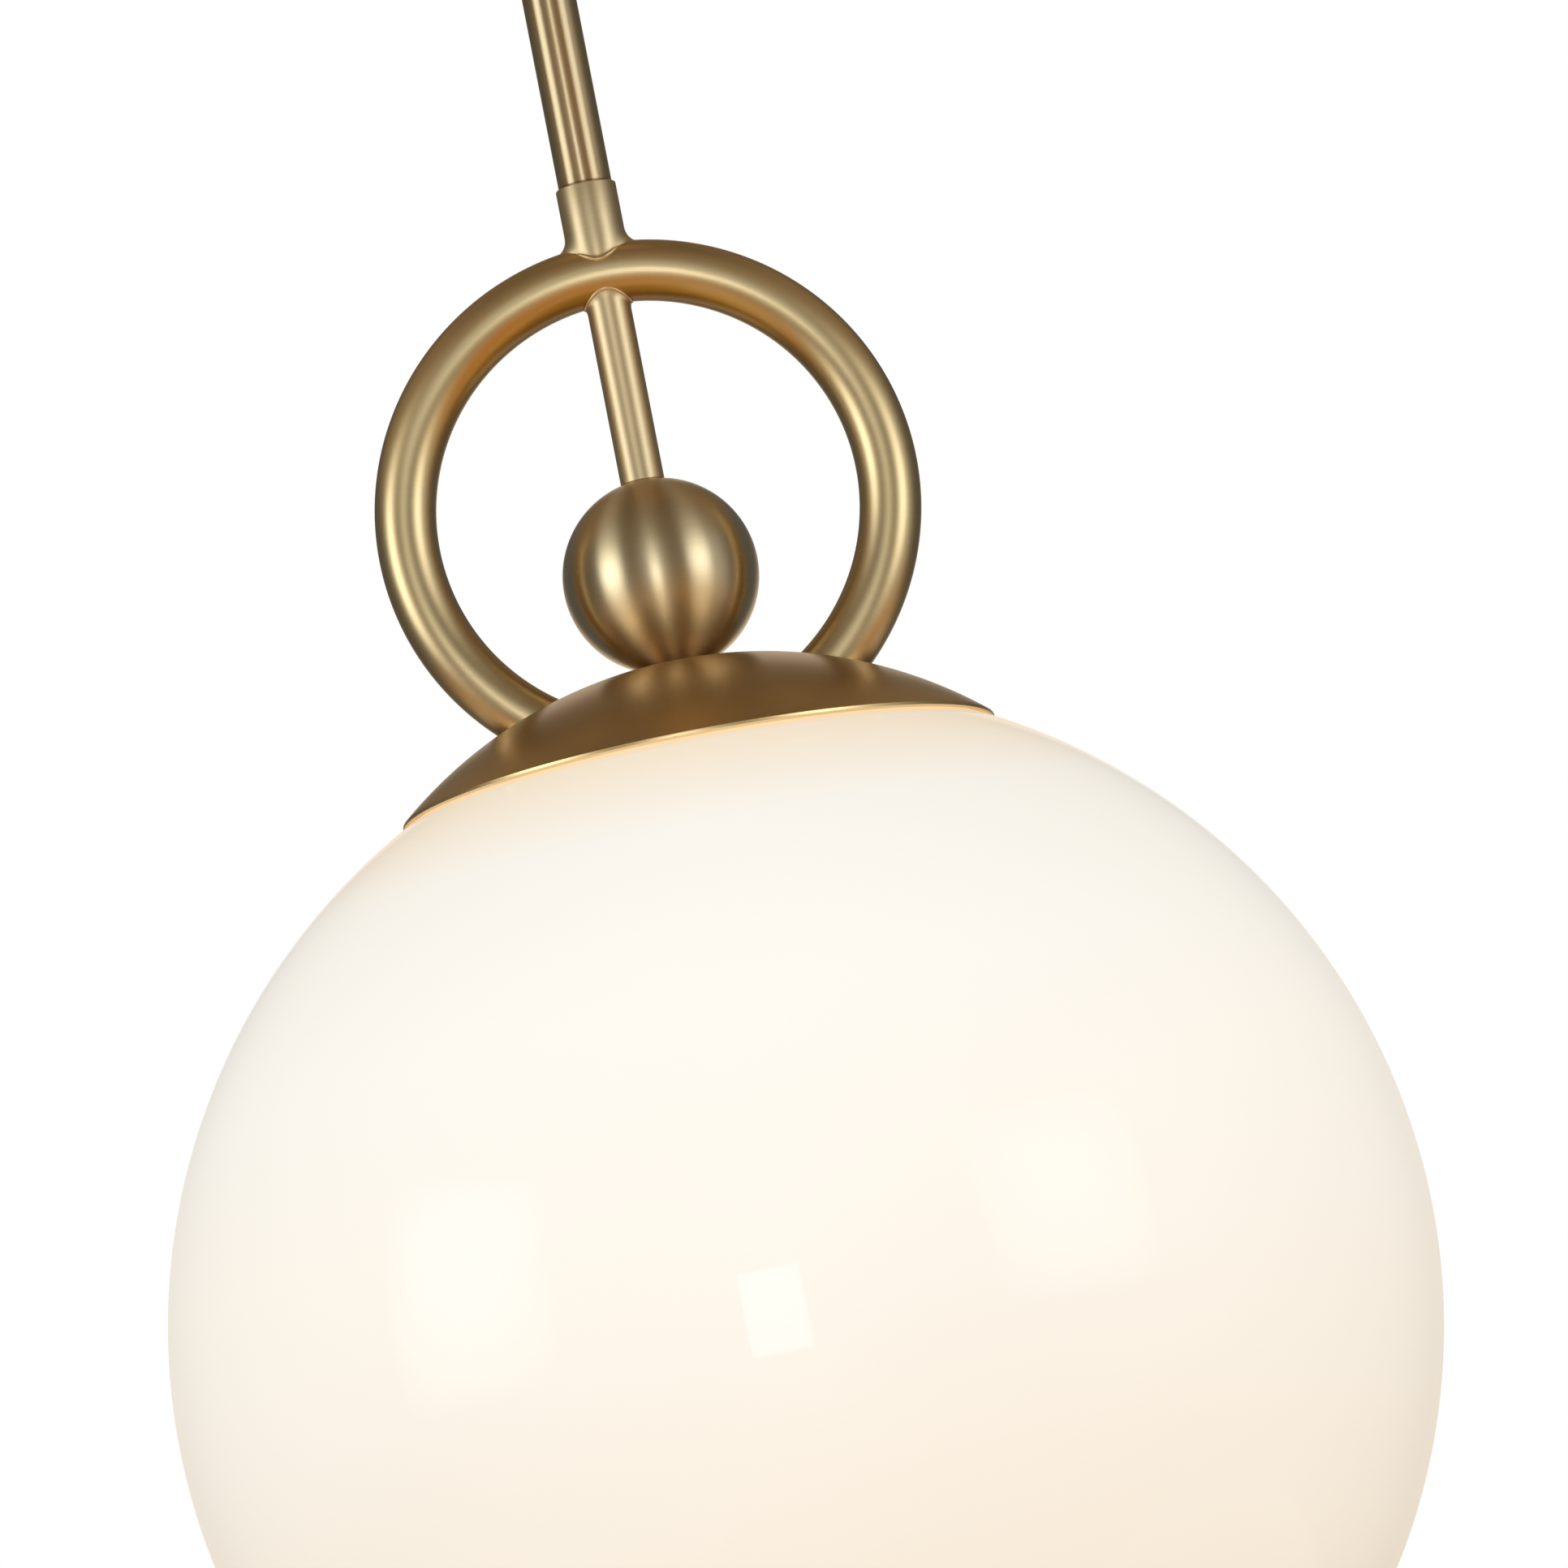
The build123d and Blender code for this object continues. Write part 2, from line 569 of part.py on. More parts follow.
def make_bulb():
    tip = rod(BULB_TIP_R, bulb_tip_low, bulb_top)
    save(fillet(round_edges(tip, BULB_TIP_R, bulb_top), BULB_TIP_EDGE_R), "bulb_tip")
    cone = [(0, bulb_tip_low), (BULB_TIP_R, bulb_tip_low), (BULB_INSULATOR_R, bulb_base_top), (0, bulb_base_top)]
    save(turned_outline(cone), "bulb_insulator")
    base_in_r = BULB_BASE_R - BULB_BASE_WALL
    base = rod(BULB_BASE_R, bulb_base_low, bulb_base_top)
    base -= rod(base_in_r, bulb_base_low, bulb_base_top - BULB_BASE_WALL)
    save(base, "bulb_base")
    grip_top = bulb_base_low + BULB_NECK_GRIP
    neck_r = base_in_r - FIXED_GAP
    bowl_r = bulb_rim_r - BULB_WALL
    ledge_r = bowl_r - LED_BOARD_LEDGE
    board_top = bulb_rim_z + LED_BOARD
    housing = turned_outline(
        [
            (neck_r - BULB_WALL, grip_top),
            (neck_r, grip_top),
            (neck_r, bulb_base_low),
            (BULB_BASE_R, bulb_base_low),
            (bulb_rim_r, board_top),
            (bulb_rim_r, bulb_rim_z),
            (bowl_r, bulb_rim_z),
            (bowl_r, board_top),
            (ledge_r, board_top),
            (neck_r - BULB_WALL, bulb_base_low),
        ]
    )
    save(housing, "bulb_housing")
    save(rod(bowl_r - FIXED_GAP, bulb_rim_z, board_top), "bulb_led_board")
    mouth = degrees(asin(bulb_rim_r / BULB_R))
    inner_r = BULB_R - BULB_WALL
    inner_mouth = degrees(asin(sqrt(inner_r**2 - BULB_RIM_DROP**2) / inner_r))
    envelope = turned(
        arc(BULB_R, bulb_ball_z, 180, mouth),
        Line(on_circle(BULB_R, bulb_ball_z, mouth), on_circle(inner_r, bulb_ball_z, inner_mouth)),
        arc(inner_r, bulb_ball_z, inner_mouth, 180),
        Line(on_circle(inner_r, bulb_ball_z, 180), on_circle(BULB_R, bulb_ball_z, 180)),
    )
    save(envelope, "bulb_envelope")


def make_wiring():
    terminal_top = chamber_floor + TERMINAL_HEIGHT
    for side, name in ((1, "live_lead"), (-1, "neutral_lead")):
        near, far = side * LEAD_X, side * TERMINAL_X
        points = [
            (near, 0, swivel_top),
            (near, 0, tail_end - LEAD_R),
            (far, 0, terminal_top + 2 * LEAD_R),
            (far, 0, terminal_top - TERMINAL_GRIP),
        ]
        save(lead(points, [LEAD_BEND_R, LEAD_END_BEND_R]), name)
    nuts = []
    for step in (-1, 0, 1):
        x = step * WIRE_NUT_STEP
        outline = [
            (0, canopy_floor),
            (WIRE_NUT_TIP_R, canopy_floor),
            (WIRE_NUT_R, nut_mouth),
            (0, nut_mouth),
        ]
        nut = turned_outline(outline)
        nut -= rod(WIRE_NUT_BORE_R, nut_mouth - WIRE_NUT_GRIP, nut_mouth)
        nuts.append(Pos(x, WIRE_NUT_Y, 0) * nut)
    save(Compound(nuts), "wire_nuts")
    for side, step, name in ((1, 0, "live_tail"), (-1, -1, "neutral_tail")):
        start = side * LEAD_X
        end = step * WIRE_NUT_STEP
        points = [
            (start, 0, swivel_top),
            (start, 0, tail_z),
            (2 * start, seat_out_r, tail_z),
            (end, WIRE_NUT_Y, tail_z),
            (end, WIRE_NUT_Y, nut_mouth - WIRE_NUT_GRIP / 2),
        ]
        save(lead(points, [TAIL_BEND_R, TAIL_TURN_R, TAIL_BEND_R]), name)
    ground_z = -CROSSBAR_THICK - GROUND_HEAD_HEIGHT - LEAD_R
    points = [
        (GROUND_SCREW_X, 0, ground_z),
        (GROUND_SCREW_X, seat_out_r, ground_z),
        (WIRE_NUT_STEP, WIRE_NUT_Y, ground_z),
        (WIRE_NUT_STEP, WIRE_NUT_Y, nut_mouth - WIRE_NUT_GRIP / 2),
    ]
    save(lead(points, [TAIL_TURN_R, TAIL_BEND_R]), "ground_tail")


os.makedirs("parts", exist_ok=True)
make_canopy()
make_crossbar()
make_canopy_fixings()
make_swivel_seat()
make_swivel_pin()
make_swivel_ball()
make_stems()
make_ring()
make_ring_collar()
make_ring_ends()
make_spindle()
make_centre_ball()
make_cap()
make_cap_stack()
make_fitter()
make_globe()
make_socket()
make_bulb()
make_wiring()
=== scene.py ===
from math import acos, asin, atan2, cos, degrees, hypot, pi, radians, sin, sqrt

import bmesh
import bpy
from bpy.props import FloatProperty, FloatVectorProperty, PointerProperty
from bpy.types import Operator, Panel, PropertyGroup
from mathutils import Matrix, Vector


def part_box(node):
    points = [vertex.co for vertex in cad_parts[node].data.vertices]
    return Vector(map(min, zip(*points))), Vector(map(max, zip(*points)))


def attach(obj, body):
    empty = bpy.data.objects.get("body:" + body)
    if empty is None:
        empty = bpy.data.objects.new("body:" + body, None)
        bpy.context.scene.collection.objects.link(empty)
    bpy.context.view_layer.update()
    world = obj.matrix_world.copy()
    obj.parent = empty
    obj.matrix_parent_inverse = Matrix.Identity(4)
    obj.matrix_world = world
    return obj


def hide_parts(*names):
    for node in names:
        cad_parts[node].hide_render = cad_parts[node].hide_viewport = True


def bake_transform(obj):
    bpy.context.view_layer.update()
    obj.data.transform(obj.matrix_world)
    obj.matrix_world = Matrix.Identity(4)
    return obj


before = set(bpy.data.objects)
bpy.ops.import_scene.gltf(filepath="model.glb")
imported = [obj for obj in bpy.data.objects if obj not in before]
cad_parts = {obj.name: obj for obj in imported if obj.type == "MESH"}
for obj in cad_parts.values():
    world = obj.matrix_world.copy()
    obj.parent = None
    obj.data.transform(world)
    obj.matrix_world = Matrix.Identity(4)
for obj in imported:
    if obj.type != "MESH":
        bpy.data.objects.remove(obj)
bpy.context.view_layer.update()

bl_info = {
    "name": "Pendant light",
    "version": (1, 0, 0),
    "blender": (4, 5, 0),
    "location": "3D View > Sidebar > Pendant",
    "description": "Dresses the packed pendant ceiling light with its brass, opal glass and fittings",
    "category": "Object",
}

MM = 0.001


def turned_size(node):
    """Half width, lower level and upper level of a node that was turned about Z."""
    low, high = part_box(node)
    return high.x, low.z, high.z


# Levels and sizes that come with the frame
CANOPY_R, CANOPY_LOW, _ = turned_size("canopy")
STEM_R, STEM_JOINT, STEM_TOP = turned_size("upper_stem")
STEM_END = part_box("lower_stem")[0].z
COLLAR_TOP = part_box("ring_collar")[1].z
COLLAR_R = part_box("ring_collar")[1].y
RING_TUBE_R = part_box("ring")[1].y
RING_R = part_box("ring")[1].x - RING_TUBE_R
RING_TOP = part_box("ring")[1].z
RING_Z = RING_TOP - RING_TUBE_R - RING_R
BALL_R, _, SPINDLE_SEAT = turned_size("centre_ball")
SPINDLE_R, TAIL_END, _ = turned_size("spindle")
BALL_Z = SPINDLE_SEAT - sqrt(BALL_R**2 - SPINDLE_R**2)
CAP_RIM_R, CAP_LOW, _ = turned_size("cap")
GLOBE_R, GLOBE_LOW, NECK_TOP = turned_size("globe")
GLOBE_Z = GLOBE_LOW + GLOBE_R
SEAT_FLANGE_R, CANOPY_FLOOR, SEAT_TOP = turned_size("swivel_seat")
SWIVEL_Z = (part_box("swivel_pin")[0].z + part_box("swivel_pin")[1].z) / 2
SWIVEL_R, _, SWIVEL_TOP = turned_size("swivel_ball")
FITTER_R, FITTER_LOW, FITTER_TOP = turned_size("globe_fitter")
SOCKET_R, SOCKET_LOW, SOCKET_TOP = turned_size("socket_body")
BULB_BASE_R, BULB_BASE_LOW, BULB_BASE_TOP = turned_size("bulb_base")
BULB_R, BULB_LOW, BULB_RIM = turned_size("bulb_envelope")

# Sizes inside the pieces
NIPPLE_R = 5.0 * MM
DOME_R = 109.6 * MM
CAP_WALL = 1.0 * MM
DOME_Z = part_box("cap")[1].z - sqrt(DOME_R**2 - NIPPLE_R**2)
GLASS_WALL = 2.5 * MM
SHOULDER_R = 63.0 * MM
NECK_R = 49.75 * MM
NECK_WALL = 3.0 * MM
WIRE_BORE_R = 3.2 * MM
SEAT_OUT_R = 22.05 * MM
SEAT_IN_R = 17.55 * MM
SEAT_OPENING = 32.0  # degrees below the level of the ball's centre
SEAT_MOUTH_R = SEAT_IN_R * cos(radians(SEAT_OPENING))
FIT = 0.05 * MM  # between pieces that fit each other
HOLE_ROOM = 0.3 * MM  # round what passes through a hole
STUD_X = 35.0 * MM
STUD_R = 2.0 * MM
GROUND_X = 24.0 * MM
WIRE_NUT_Y = 42.0 * MM
WIRE_NUT_STEP = 17.0 * MM
WIRE_NUT_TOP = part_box("wire_nuts")[1].z
WIRE_END = WIRE_NUT_TOP - 4.0 * MM
TAIL_Z = SWIVEL_TOP + 10.5 * MM
LEAD_X = 1.6 * MM
WIRE_R = 1.0 * MM
RING_WALL = 1.5 * MM
LIP_WIDTH = 1.4 * MM
TUBE_PITCH = 1.0 * MM
TUBE_THREAD = 0.4 * MM
STUD_PITCH = 0.7 * MM
STUD_THREAD = 0.3 * MM
THREAD_START = 0.5 * MM  # how much narrower a thread begins
SHARP_ANGLE = radians(38)  # edges that turn by more are shaded as sharp
BROKEN_ANGLE = radians(32)  # edges that turn by more are broken

# Small turned forms, in millimetres
SEAM = ((0.0, -0.2), (0.3, -0.1), (0.3, 0.3), (0.0, 0.4))  # in from the stem, up from the collar's top
SPINDLE_BEAD = ((0.6, 0.0), (0.33, 0.4), (0.12, 0.9), (0.0, 1.6))  # out from the rod, down from the ring
CAP_LIP = ((0.12, 0.55), (0.65, 0.36), (1.0, 0.17))  # in from the cap's rim, down from it


def length(name, description, default):
    """A length that a user may change."""
    return FloatProperty(name=name, description=description, default=default, unit="LENGTH")


def tint(name, description, default):
    """A colour that a user may change."""
    return FloatVectorProperty(name=name, description=description, default=default, subtype="COLOR")


class PendantSizes(PropertyGroup):
    """Sizes of the visible pieces."""

    canopy_edge: length("Canopy edge", "Radius of the canopy's lower edge", 5.0 * MM)
    canopy_sheet: length("Canopy sheet", "Thickness of the canopy's sheet", 1.5 * MM)
    stem_radius: length("Stem radius", "Radius of both lengths of stem", STEM_R)
    ring_radius: length("Ring radius", "Radius of the ring's centreline", RING_R)
    ring_tube: length("Ring tube", "Radius of the ring's tube", RING_TUBE_R)
    spindle_radius: length("Spindle radius", "Radius of the rod over the ball", SPINDLE_R)
    ball_radius: length("Ball radius", "Radius of the ball on the cap", BALL_R)
    globe_radius: length("Globe radius", "Outer radius of the glass globe", GLOBE_R)
    braze_flare: length("Braze flare", "Reach of the collar's brazed foot along the ring", 3.0 * MM)
    edge_break: length("Edge break", "Width of the broken edge on turned pieces", 0.25 * MM)


class PendantFinishes(PropertyGroup):
    """Colours and gloss of the finishes."""

    brass: tint("Brass", "Colour of the brushed brass", (0.75, 0.535, 0.27))
    ball_brass: tint("Ball brass", "Colour of the turned ball", (0.75, 0.55, 0.29))
    ring_brass: tint("Ring brass", "Colour of the bent ring", (0.64, 0.432, 0.195))
    # Painted highlight: the paler brass laid over the ring's crown.
    crown_painted_highlight: tint("Crown brass", "Colour of the ring's upper face", (0.92, 0.63, 0.285))
    # Painted shade: the darker, more orange brass laid under the ring's top.
    under_ring_painted_shade: tint("Inner brass", "Colour under the ring's top", (0.60, 0.32, 0.065))
    cap_brass: tint("Cap brass", "Colour of the spun cap", (0.60, 0.385, 0.16))
    bare_brass: tint("Bare edge", "Colour of the cut edge of the dome", (1.0, 0.70, 0.36))
    brass_roughness: FloatProperty(
        name="Brass roughness", description="Roughness of the brushed brass", default=0.38, subtype="FACTOR"
    )
    cap_roughness: FloatProperty(
        name="Cap roughness", description="Roughness of the spun cap", default=0.36, subtype="FACTOR"
    )
    glass: tint("Opal glass", "Colour of the unlit opal glass", (0.40, 0.39, 0.375))
    # Painted shade: the dimmer, more orange glow laid on the glass just under the cap's rim.
    neck_glow_painted_shade: tint("Glow at the neck", "Light of the glass just under the cap", (0.785, 0.54, 0.22))
    glow_upper: tint("Glow above", "Light of the glass over the lamp", (0.775, 0.772, 0.735))
    glow_lower: tint("Glow below", "Light of the glass at the bottom", (0.67, 0.612, 0.51))
    glow_strength: FloatProperty(
        name="Glow strength", description="Strength of the light in the glass", default=1.0, min=0.0
    )


class PendantStage(PropertyGroup):
    """Camera, floor and studio light."""

    aim: FloatVectorProperty(
        name="Aim",
        description="Point at the middle of the picture",
        default=(0.01932, 0.0, -0.49195),
        subtype="TRANSLATION",
    )
    distance: length("Distance", "From the aim point to the camera", 2.0)
    tilt: FloatProperty(
        name="Tilt", description="How far the camera looks up", default=radians(7.973), subtype="ANGLE"
    )
    roll: FloatProperty(
        name="Roll", description="How far the camera leans over", default=radians(-11.056), subtype="ANGLE"
    )
    lens: FloatProperty(name="Lens", description="Focal length in millimetres", default=193.1)
    floor_level: length("Floor level", "Level of the floor under the light", -2.4)
    floor_colour: tint("Floor", "Colour of the floor", (0.88, 0.88, 0.87))
    screen_radius: length("Screen radius", "From the light to the dark screens round it", 3.2)
    screen_top: length("Screen top", "Level of the lid over the screens", 1.6)
    screen_colour: tint("Screens", "Colour of the dark screens", (0.105, 0.115, 0.12))
    lid_middle: tint("Lid middle", "Colour of the lid over the light", (0.08, 0.065, 0.05))
    lid_edge: tint("Lid edge", "Colour of the lid further out", (0.19, 0.155, 0.115))
    behind_colour: tint("Behind", "Colour of the pale screen behind", (0.62, 0.53, 0.41))
    rear_colour: tint("Rear strip", "Colour of the strip in its middle", (0.90, 0.79, 0.65))
    reflector_colour: tint("Reflector", "Colour of the warm board low in front", (0.60, 0.31, 0.09))
    softbox_colour: tint("Softbox", "Colour of the softboxes", (0.80, 0.94, 1.10))
    softbox_level: FloatProperty(
        name="Softbox level", description="Brightness of the softboxes", default=5.0, min=0.0
    )


class Value:
    """A socket of a node tree. Arithmetic on it adds Math nodes."""

    def __init__(self, tree, socket):
        self.tree = tree
        self.socket = socket

    def out(self, name):
        """Another output of the same node."""
        return Value(self.tree, self.socket.node.outputs[name])


def arithmetic(operation, swapped):
    """A method of Value that adds one Math node."""

    def method(value, other):
        first, second = (other, value) if swapped else (value, other)
        return value.tree.math(operation, first, second)

    return method


SIGNS = {"add": "ADD", "sub": "SUBTRACT", "mul": "MULTIPLY", "truediv": "DIVIDE", "pow": "POWER"}
for sign, operation in SIGNS.items():
    setattr(Value, f"__{sign}__", arithmetic(operation, False))
    setattr(Value, f"__r{sign}__", arithmetic(operation, True))


class Tree:
    """The node tree of a material or of the world."""

    def __init__(self, owner):
        owner.use_nodes = True
        self.nodes = owner.node_tree.nodes
        self.links = owner.node_tree.links
        self.nodes.clear()

    def add(self, kind, settings=None, inputs=None, output=0):
        """Adds a node: its settings first, then the values or links of its sockets."""
        node = self.nodes.new(kind)
        for key, value in (settings or {}).items():
            if key == "stops":
                ramp = node.color_ramp.elements
                while len(ramp) < len(value):
                    ramp.new(1.0)
                for element, (position, colour) in zip(ramp, value):
                    element.position = position
                    element.color = (*colour, 1.0)
            else:
                setattr(node, key, value)
        for key, value in (inputs or {}).items():
            if isinstance(value, Value):
                self.links.new(value.socket, node.inputs[key])
            else:
                node.inputs[key].default_value = value
        return Value(self, node.outputs[output]) if node.outputs else None

    def math(self, operation, first, second):
        return self.add("ShaderNodeMath", {"operation": operation}, {0: first, 1: second})

    def mix(self, factor, first, second):
        """A colour between two colours."""
        return self.add("ShaderNodeMix", {"data_type": "RGBA"}, {0: factor, 6: first, 7: second}, 2)

    def smooth(self, value, low, high):
        """Rises from 0 to 1 between two levels."""
        kind = {"interpolation_type": "SMOOTHSTEP"}
        return self.add("ShaderNodeMapRange", kind, {"Value": value, "From Min": low, "From Max": high})

    def noise(self, vector, scale, detail=2.0, **inputs):
        inputs = {"Vector": vector, "Scale": scale, "Detail": detail, **inputs}
        kind = {"noise_dimensions": "4D" if "W" in inputs else "3D"}
        return self.add("ShaderNodeTexNoise", kind, inputs)

    def vector(self, x, y, z):
        return self.add("ShaderNodeCombineXYZ", {}, {"X": x, "Y": y, "Z": z})

    def coordinates(self):
        return self.add("ShaderNodeTexCoord", output="Object")

    def place(self):
        """Object coordinates, whole and as x, y and z."""
        whole = self.coordinates()
        split = self.add("ShaderNodeSeparateXYZ", {}, {"Vector": whole})
        return whole, split, split.out("Y"), split.out("Z")

    def radius(self, x, y):
        return (x * x + y * y) ** 0.5

    def rays(self):
        """1 for rays that show things, straight or mirrored, and 1 for those from the camera alone."""
        camera = self.add("ShaderNodeLightPath", output="Is Camera Ray")
        shown = camera + camera.out("Is Glossy Ray") + camera.out("Is Transmission Ray")
        return self.math("MINIMUM", shown, 1.0), camera

    def bump(self, height, strength, distance):
        inputs = {"Strength": strength, "Distance": distance, "Height": height}
        return self.add("ShaderNodeBump", {}, inputs)

    def surface(self, **inputs):
        """A Principled surface. Socket names are written with underscores."""
        named = {key.replace("_", " "): value for key, value in inputs.items()}
        self.output(self.add("ShaderNodeBsdfPrincipled", {}, named))

    def emission(self, colour, strength=1.0):
        return self.add("ShaderNodeEmission", {}, {"Color": colour, "Strength": strength})

    def output(self, shader):
        self.add("ShaderNodeOutputMaterial", {}, {"Surface": shader})


def rgba(colour, level=1.0):
    return (colour[0] * level, colour[1] * level, colour[2] * level, 1.0)


def brushed_brass(
    tree, colour, roughness, lines, whole, coat=0.25, anisotropic=0.0, depth=0.06, over=(), metallic=1.0
):
    """Satin brass under clear lacquer, with the lines of the brush. Over lists masks and their colours."""
    cloud = tree.noise(whole, 28.0, 3.0)
    shade = lines * 0.55 + cloud * 0.45
    base = tree.mix(shade, rgba(colour, 0.88), rgba(colour, 1.12))
    for share, other in over:
        base = tree.mix(share, base, rgba(other))
    tree.surface(
        Base_Color=base,
        Metallic=metallic,
        Roughness=roughness + (lines - 0.5) * 0.06 + (cloud - 0.5) * 0.05,
        Normal=tree.bump(lines, depth, 0.05 * MM),
        Anisotropic=anisotropic,
        Anisotropic_Rotation=0.25,
        Coat_Weight=coat,
        Coat_Roughness=0.20,
        Coat_IOR=1.6,
    )


def turned_lines(tree, fine=3600.0):
    """Fine rings round the Z axis, so many to the metre, each a little uneven along its length."""
    whole, x, y, z = tree.place()
    lines = tree.noise(tree.vector(tree.radius(x, y) * fine, z * fine, x * 60.0), 1.0, 3.0, W=y * 60.0)
    return lines, whole


def lathe_brass(tree, looks, colour, roughness, coat, anisotropic):
    """Brass with the fine rings of the lathe. The colour is named, and the roughness is a share."""
    lines, whole = turned_lines(tree)
    shared = {"coat": coat, "anisotropic": anisotropic}
    brushed_brass(tree, getattr(looks, colour), looks.brass_roughness * roughness, lines, whole, **shared)


def ring_brass(tree, looks):
    """The ring's brass, with a painted highlight over its crown and painted shade under it."""
    whole, x, y, z = tree.place()
    height = z - RING_Z
    along = tree.math("ARCTAN2", x, height) * RING_R
    out = (tree.radius(x, height) - RING_R) / MM
    # Painted highlight over the ring's crown.
    crown_highlight_mask = tree.smooth(out, -0.5, 2.0) * tree.smooth(out, 6.9, 5.2) * tree.smooth(height, 0.0, 30 * MM)
    # Painted shade under the ring's top, and darker painted shade at its inner edge.
    inner = tree.smooth(out, -1.0, -6.0) * tree.smooth(height, 10 * MM, 45 * MM)
    inner_edge_painted_shade = tree.smooth(out, -5.6, -7.0) * tree.smooth(height, 30 * MM, 50 * MM)
    shaded = [0.5 * part for part in looks.under_ring_painted_shade]
    over = ((crown_highlight_mask, looks.crown_painted_highlight), (inner, looks.under_ring_painted_shade), (inner_edge_painted_shade, shaded))
    lines = tree.noise(tree.vector(along * 3200.0, y * 60.0, x * 40.0), 1.0, 3.0, W=z * 40.0)
    brushed_brass(tree, looks.ring_brass, looks.brass_roughness * 0.95, lines, whole, depth=0.02, over=over)


def spun_brass(tree, looks):
    """The cap's brass, made paler towards its rim as painted light, and bare on the cut edge."""
    lines, whole = turned_lines(tree, 2600.0)
    z = tree.place()[3]
    # Painted light: the brass is up to 1.4 times paler over the lowest 12 mm, towards the rim.
    rim = (tree.smooth(z, CAP_LOW + 12 * MM, CAP_LOW), tuple(1.4 * part for part in looks.cap_brass))
    edge = tree.smooth(z, CAP_LOW + 0.08 * MM, CAP_LOW)
    over = (rim, (edge, looks.bare_brass))
    brushed_brass(
        tree, looks.cap_brass, looks.cap_roughness + edge * 0.4, lines, whole,
        coat=0.15 - edge * 0.15, anisotropic=0.2, over=over, metallic=1.0 - edge,
    )


def opal_glass(tree, looks):
    """Lit opal glass. The stops of its glow count from the bottom of the globe to the top of its sphere."""
    whole, _, _, z = tree.place()
    height = (z - GLOBE_Z) / GLOBE_R
    shoulder = Vector(looks.glow_upper).lerp(looks.neck_glow_painted_shade, 0.40)
    # The shoulder stops blend part way to the neck's colour; the last stop is painted shade on the glass
    # under the cap's rim.
    stops = [
        (0.15, looks.glow_lower),
        (0.72, looks.glow_upper),
        (0.86, looks.glow_upper),
        (0.925, shoulder),
        (0.9370, shoulder),
        (0.9380, looks.neck_glow_painted_shade),
    ]
    ramp = tree.add("ShaderNodeValToRGB", {"stops": stops}, {"Fac": height * 0.5 + 0.5})
    cloud = tree.noise(whole, 14.0, 3.0)
    swirl = tree.noise(whole, 60.0, 4.0)
    glow = tree.mix(cloud * 0.15, ramp, rgba(looks.glow_upper))
    tree.surface(
        Base_Color=tree.mix(cloud, rgba(looks.glass, 0.97), rgba(looks.glass, 1.03)),
        Roughness=0.10 + swirl * 0.04,
        IOR=1.5,
        Specular_IOR_Level=0.0,
        Coat_Weight=0.30,
        Coat_Roughness=0.03,
        Coat_IOR=1.5,
        Coat_Tint=(1.0, 0.87, 0.72, 1.0),
        Emission_Color=glow,
        Emission_Strength=looks.glow_strength,
        Normal=tree.bump(swirl, 0.02, 0.1 * MM),
    )


def plated(tree, looks, colour):
    whole = tree.coordinates()
    cells = tree.add("ShaderNodeTexVoronoi", {}, {"Vector": whole, "Scale": 900.0}, "Color")
    grain = tree.noise(whole, 2400.0, 3.0)
    stain = tree.noise(whole, 120.0, 3.0)
    patch = tree.add("ShaderNodeSeparateColor", {}, {"Color": cells})
    shade = patch * 0.4 + stain * 0.6
    tree.surface(
        Base_Color=tree.mix(shade, rgba(colour, 0.82), rgba(colour, 1.12)),
        Metallic=1.0,
        Roughness=0.30 + patch * 0.12 + stain * 0.08,
        Normal=tree.bump(grain, 0.12, 0.03 * MM),
    )


def enamel(tree, looks, colour):
    whole = tree.coordinates()
    peel = tree.noise(whole, 700.0, 2.0)
    cloud = tree.noise(whole, 40.0, 3.0)
    tree.surface(
        Base_Color=tree.mix(cloud, rgba(colour, 0.95), rgba(colour, 1.03)),
        Roughness=0.26 + cloud * 0.10,
        Normal=tree.bump(peel, 0.15, 0.05 * MM),
        Coat_Weight=0.3,
        Coat_Roughness=0.12,
    )


def moulded(tree, looks, colour, roughness):
    whole = tree.coordinates()
    grain = tree.noise(whole, 2200.0, 3.0)
    cloud = tree.noise(whole, 90.0, 2.0)
    tree.surface(
        Base_Color=tree.mix(cloud, rgba(colour, 0.90), rgba(colour, 1.08)),
        Roughness=roughness + (grain - 0.5) * 0.12,
        Normal=tree.bump(grain, 0.15, 0.04 * MM),
    )


def porcelain(tree, looks):
    whole = tree.coordinates()
    speck = tree.noise(whole, 900.0, 4.0)
    cloud = tree.noise(whole, 60.0, 3.0)
    tree.surface(
        Base_Color=tree.mix(cloud * 0.7 + speck * 0.3, (0.80, 0.77, 0.70, 1.0), (0.91, 0.89, 0.85, 1.0)),
        Roughness=0.14 + speck * 0.08,
        Normal=tree.bump(cloud, 0.10, 0.2 * MM),
        Coat_Weight=0.6,
        Coat_Roughness=0.05,
    )


def lit_diffuser(tree, looks):
    whole = tree.coordinates()
    cloud = tree.noise(whole, 50.0, 2.0)
    tree.surface(
        Base_Color=tree.mix(cloud, (0.88, 0.85, 0.78, 1.0), (0.94, 0.91, 0.84, 1.0)),
        Roughness=0.42 + cloud * 0.06,
        Emission_Color=tree.mix(cloud, (1.0, 0.80, 0.55, 1.0), (1.0, 0.86, 0.64, 1.0)),
        Emission_Strength=1.0,
    )


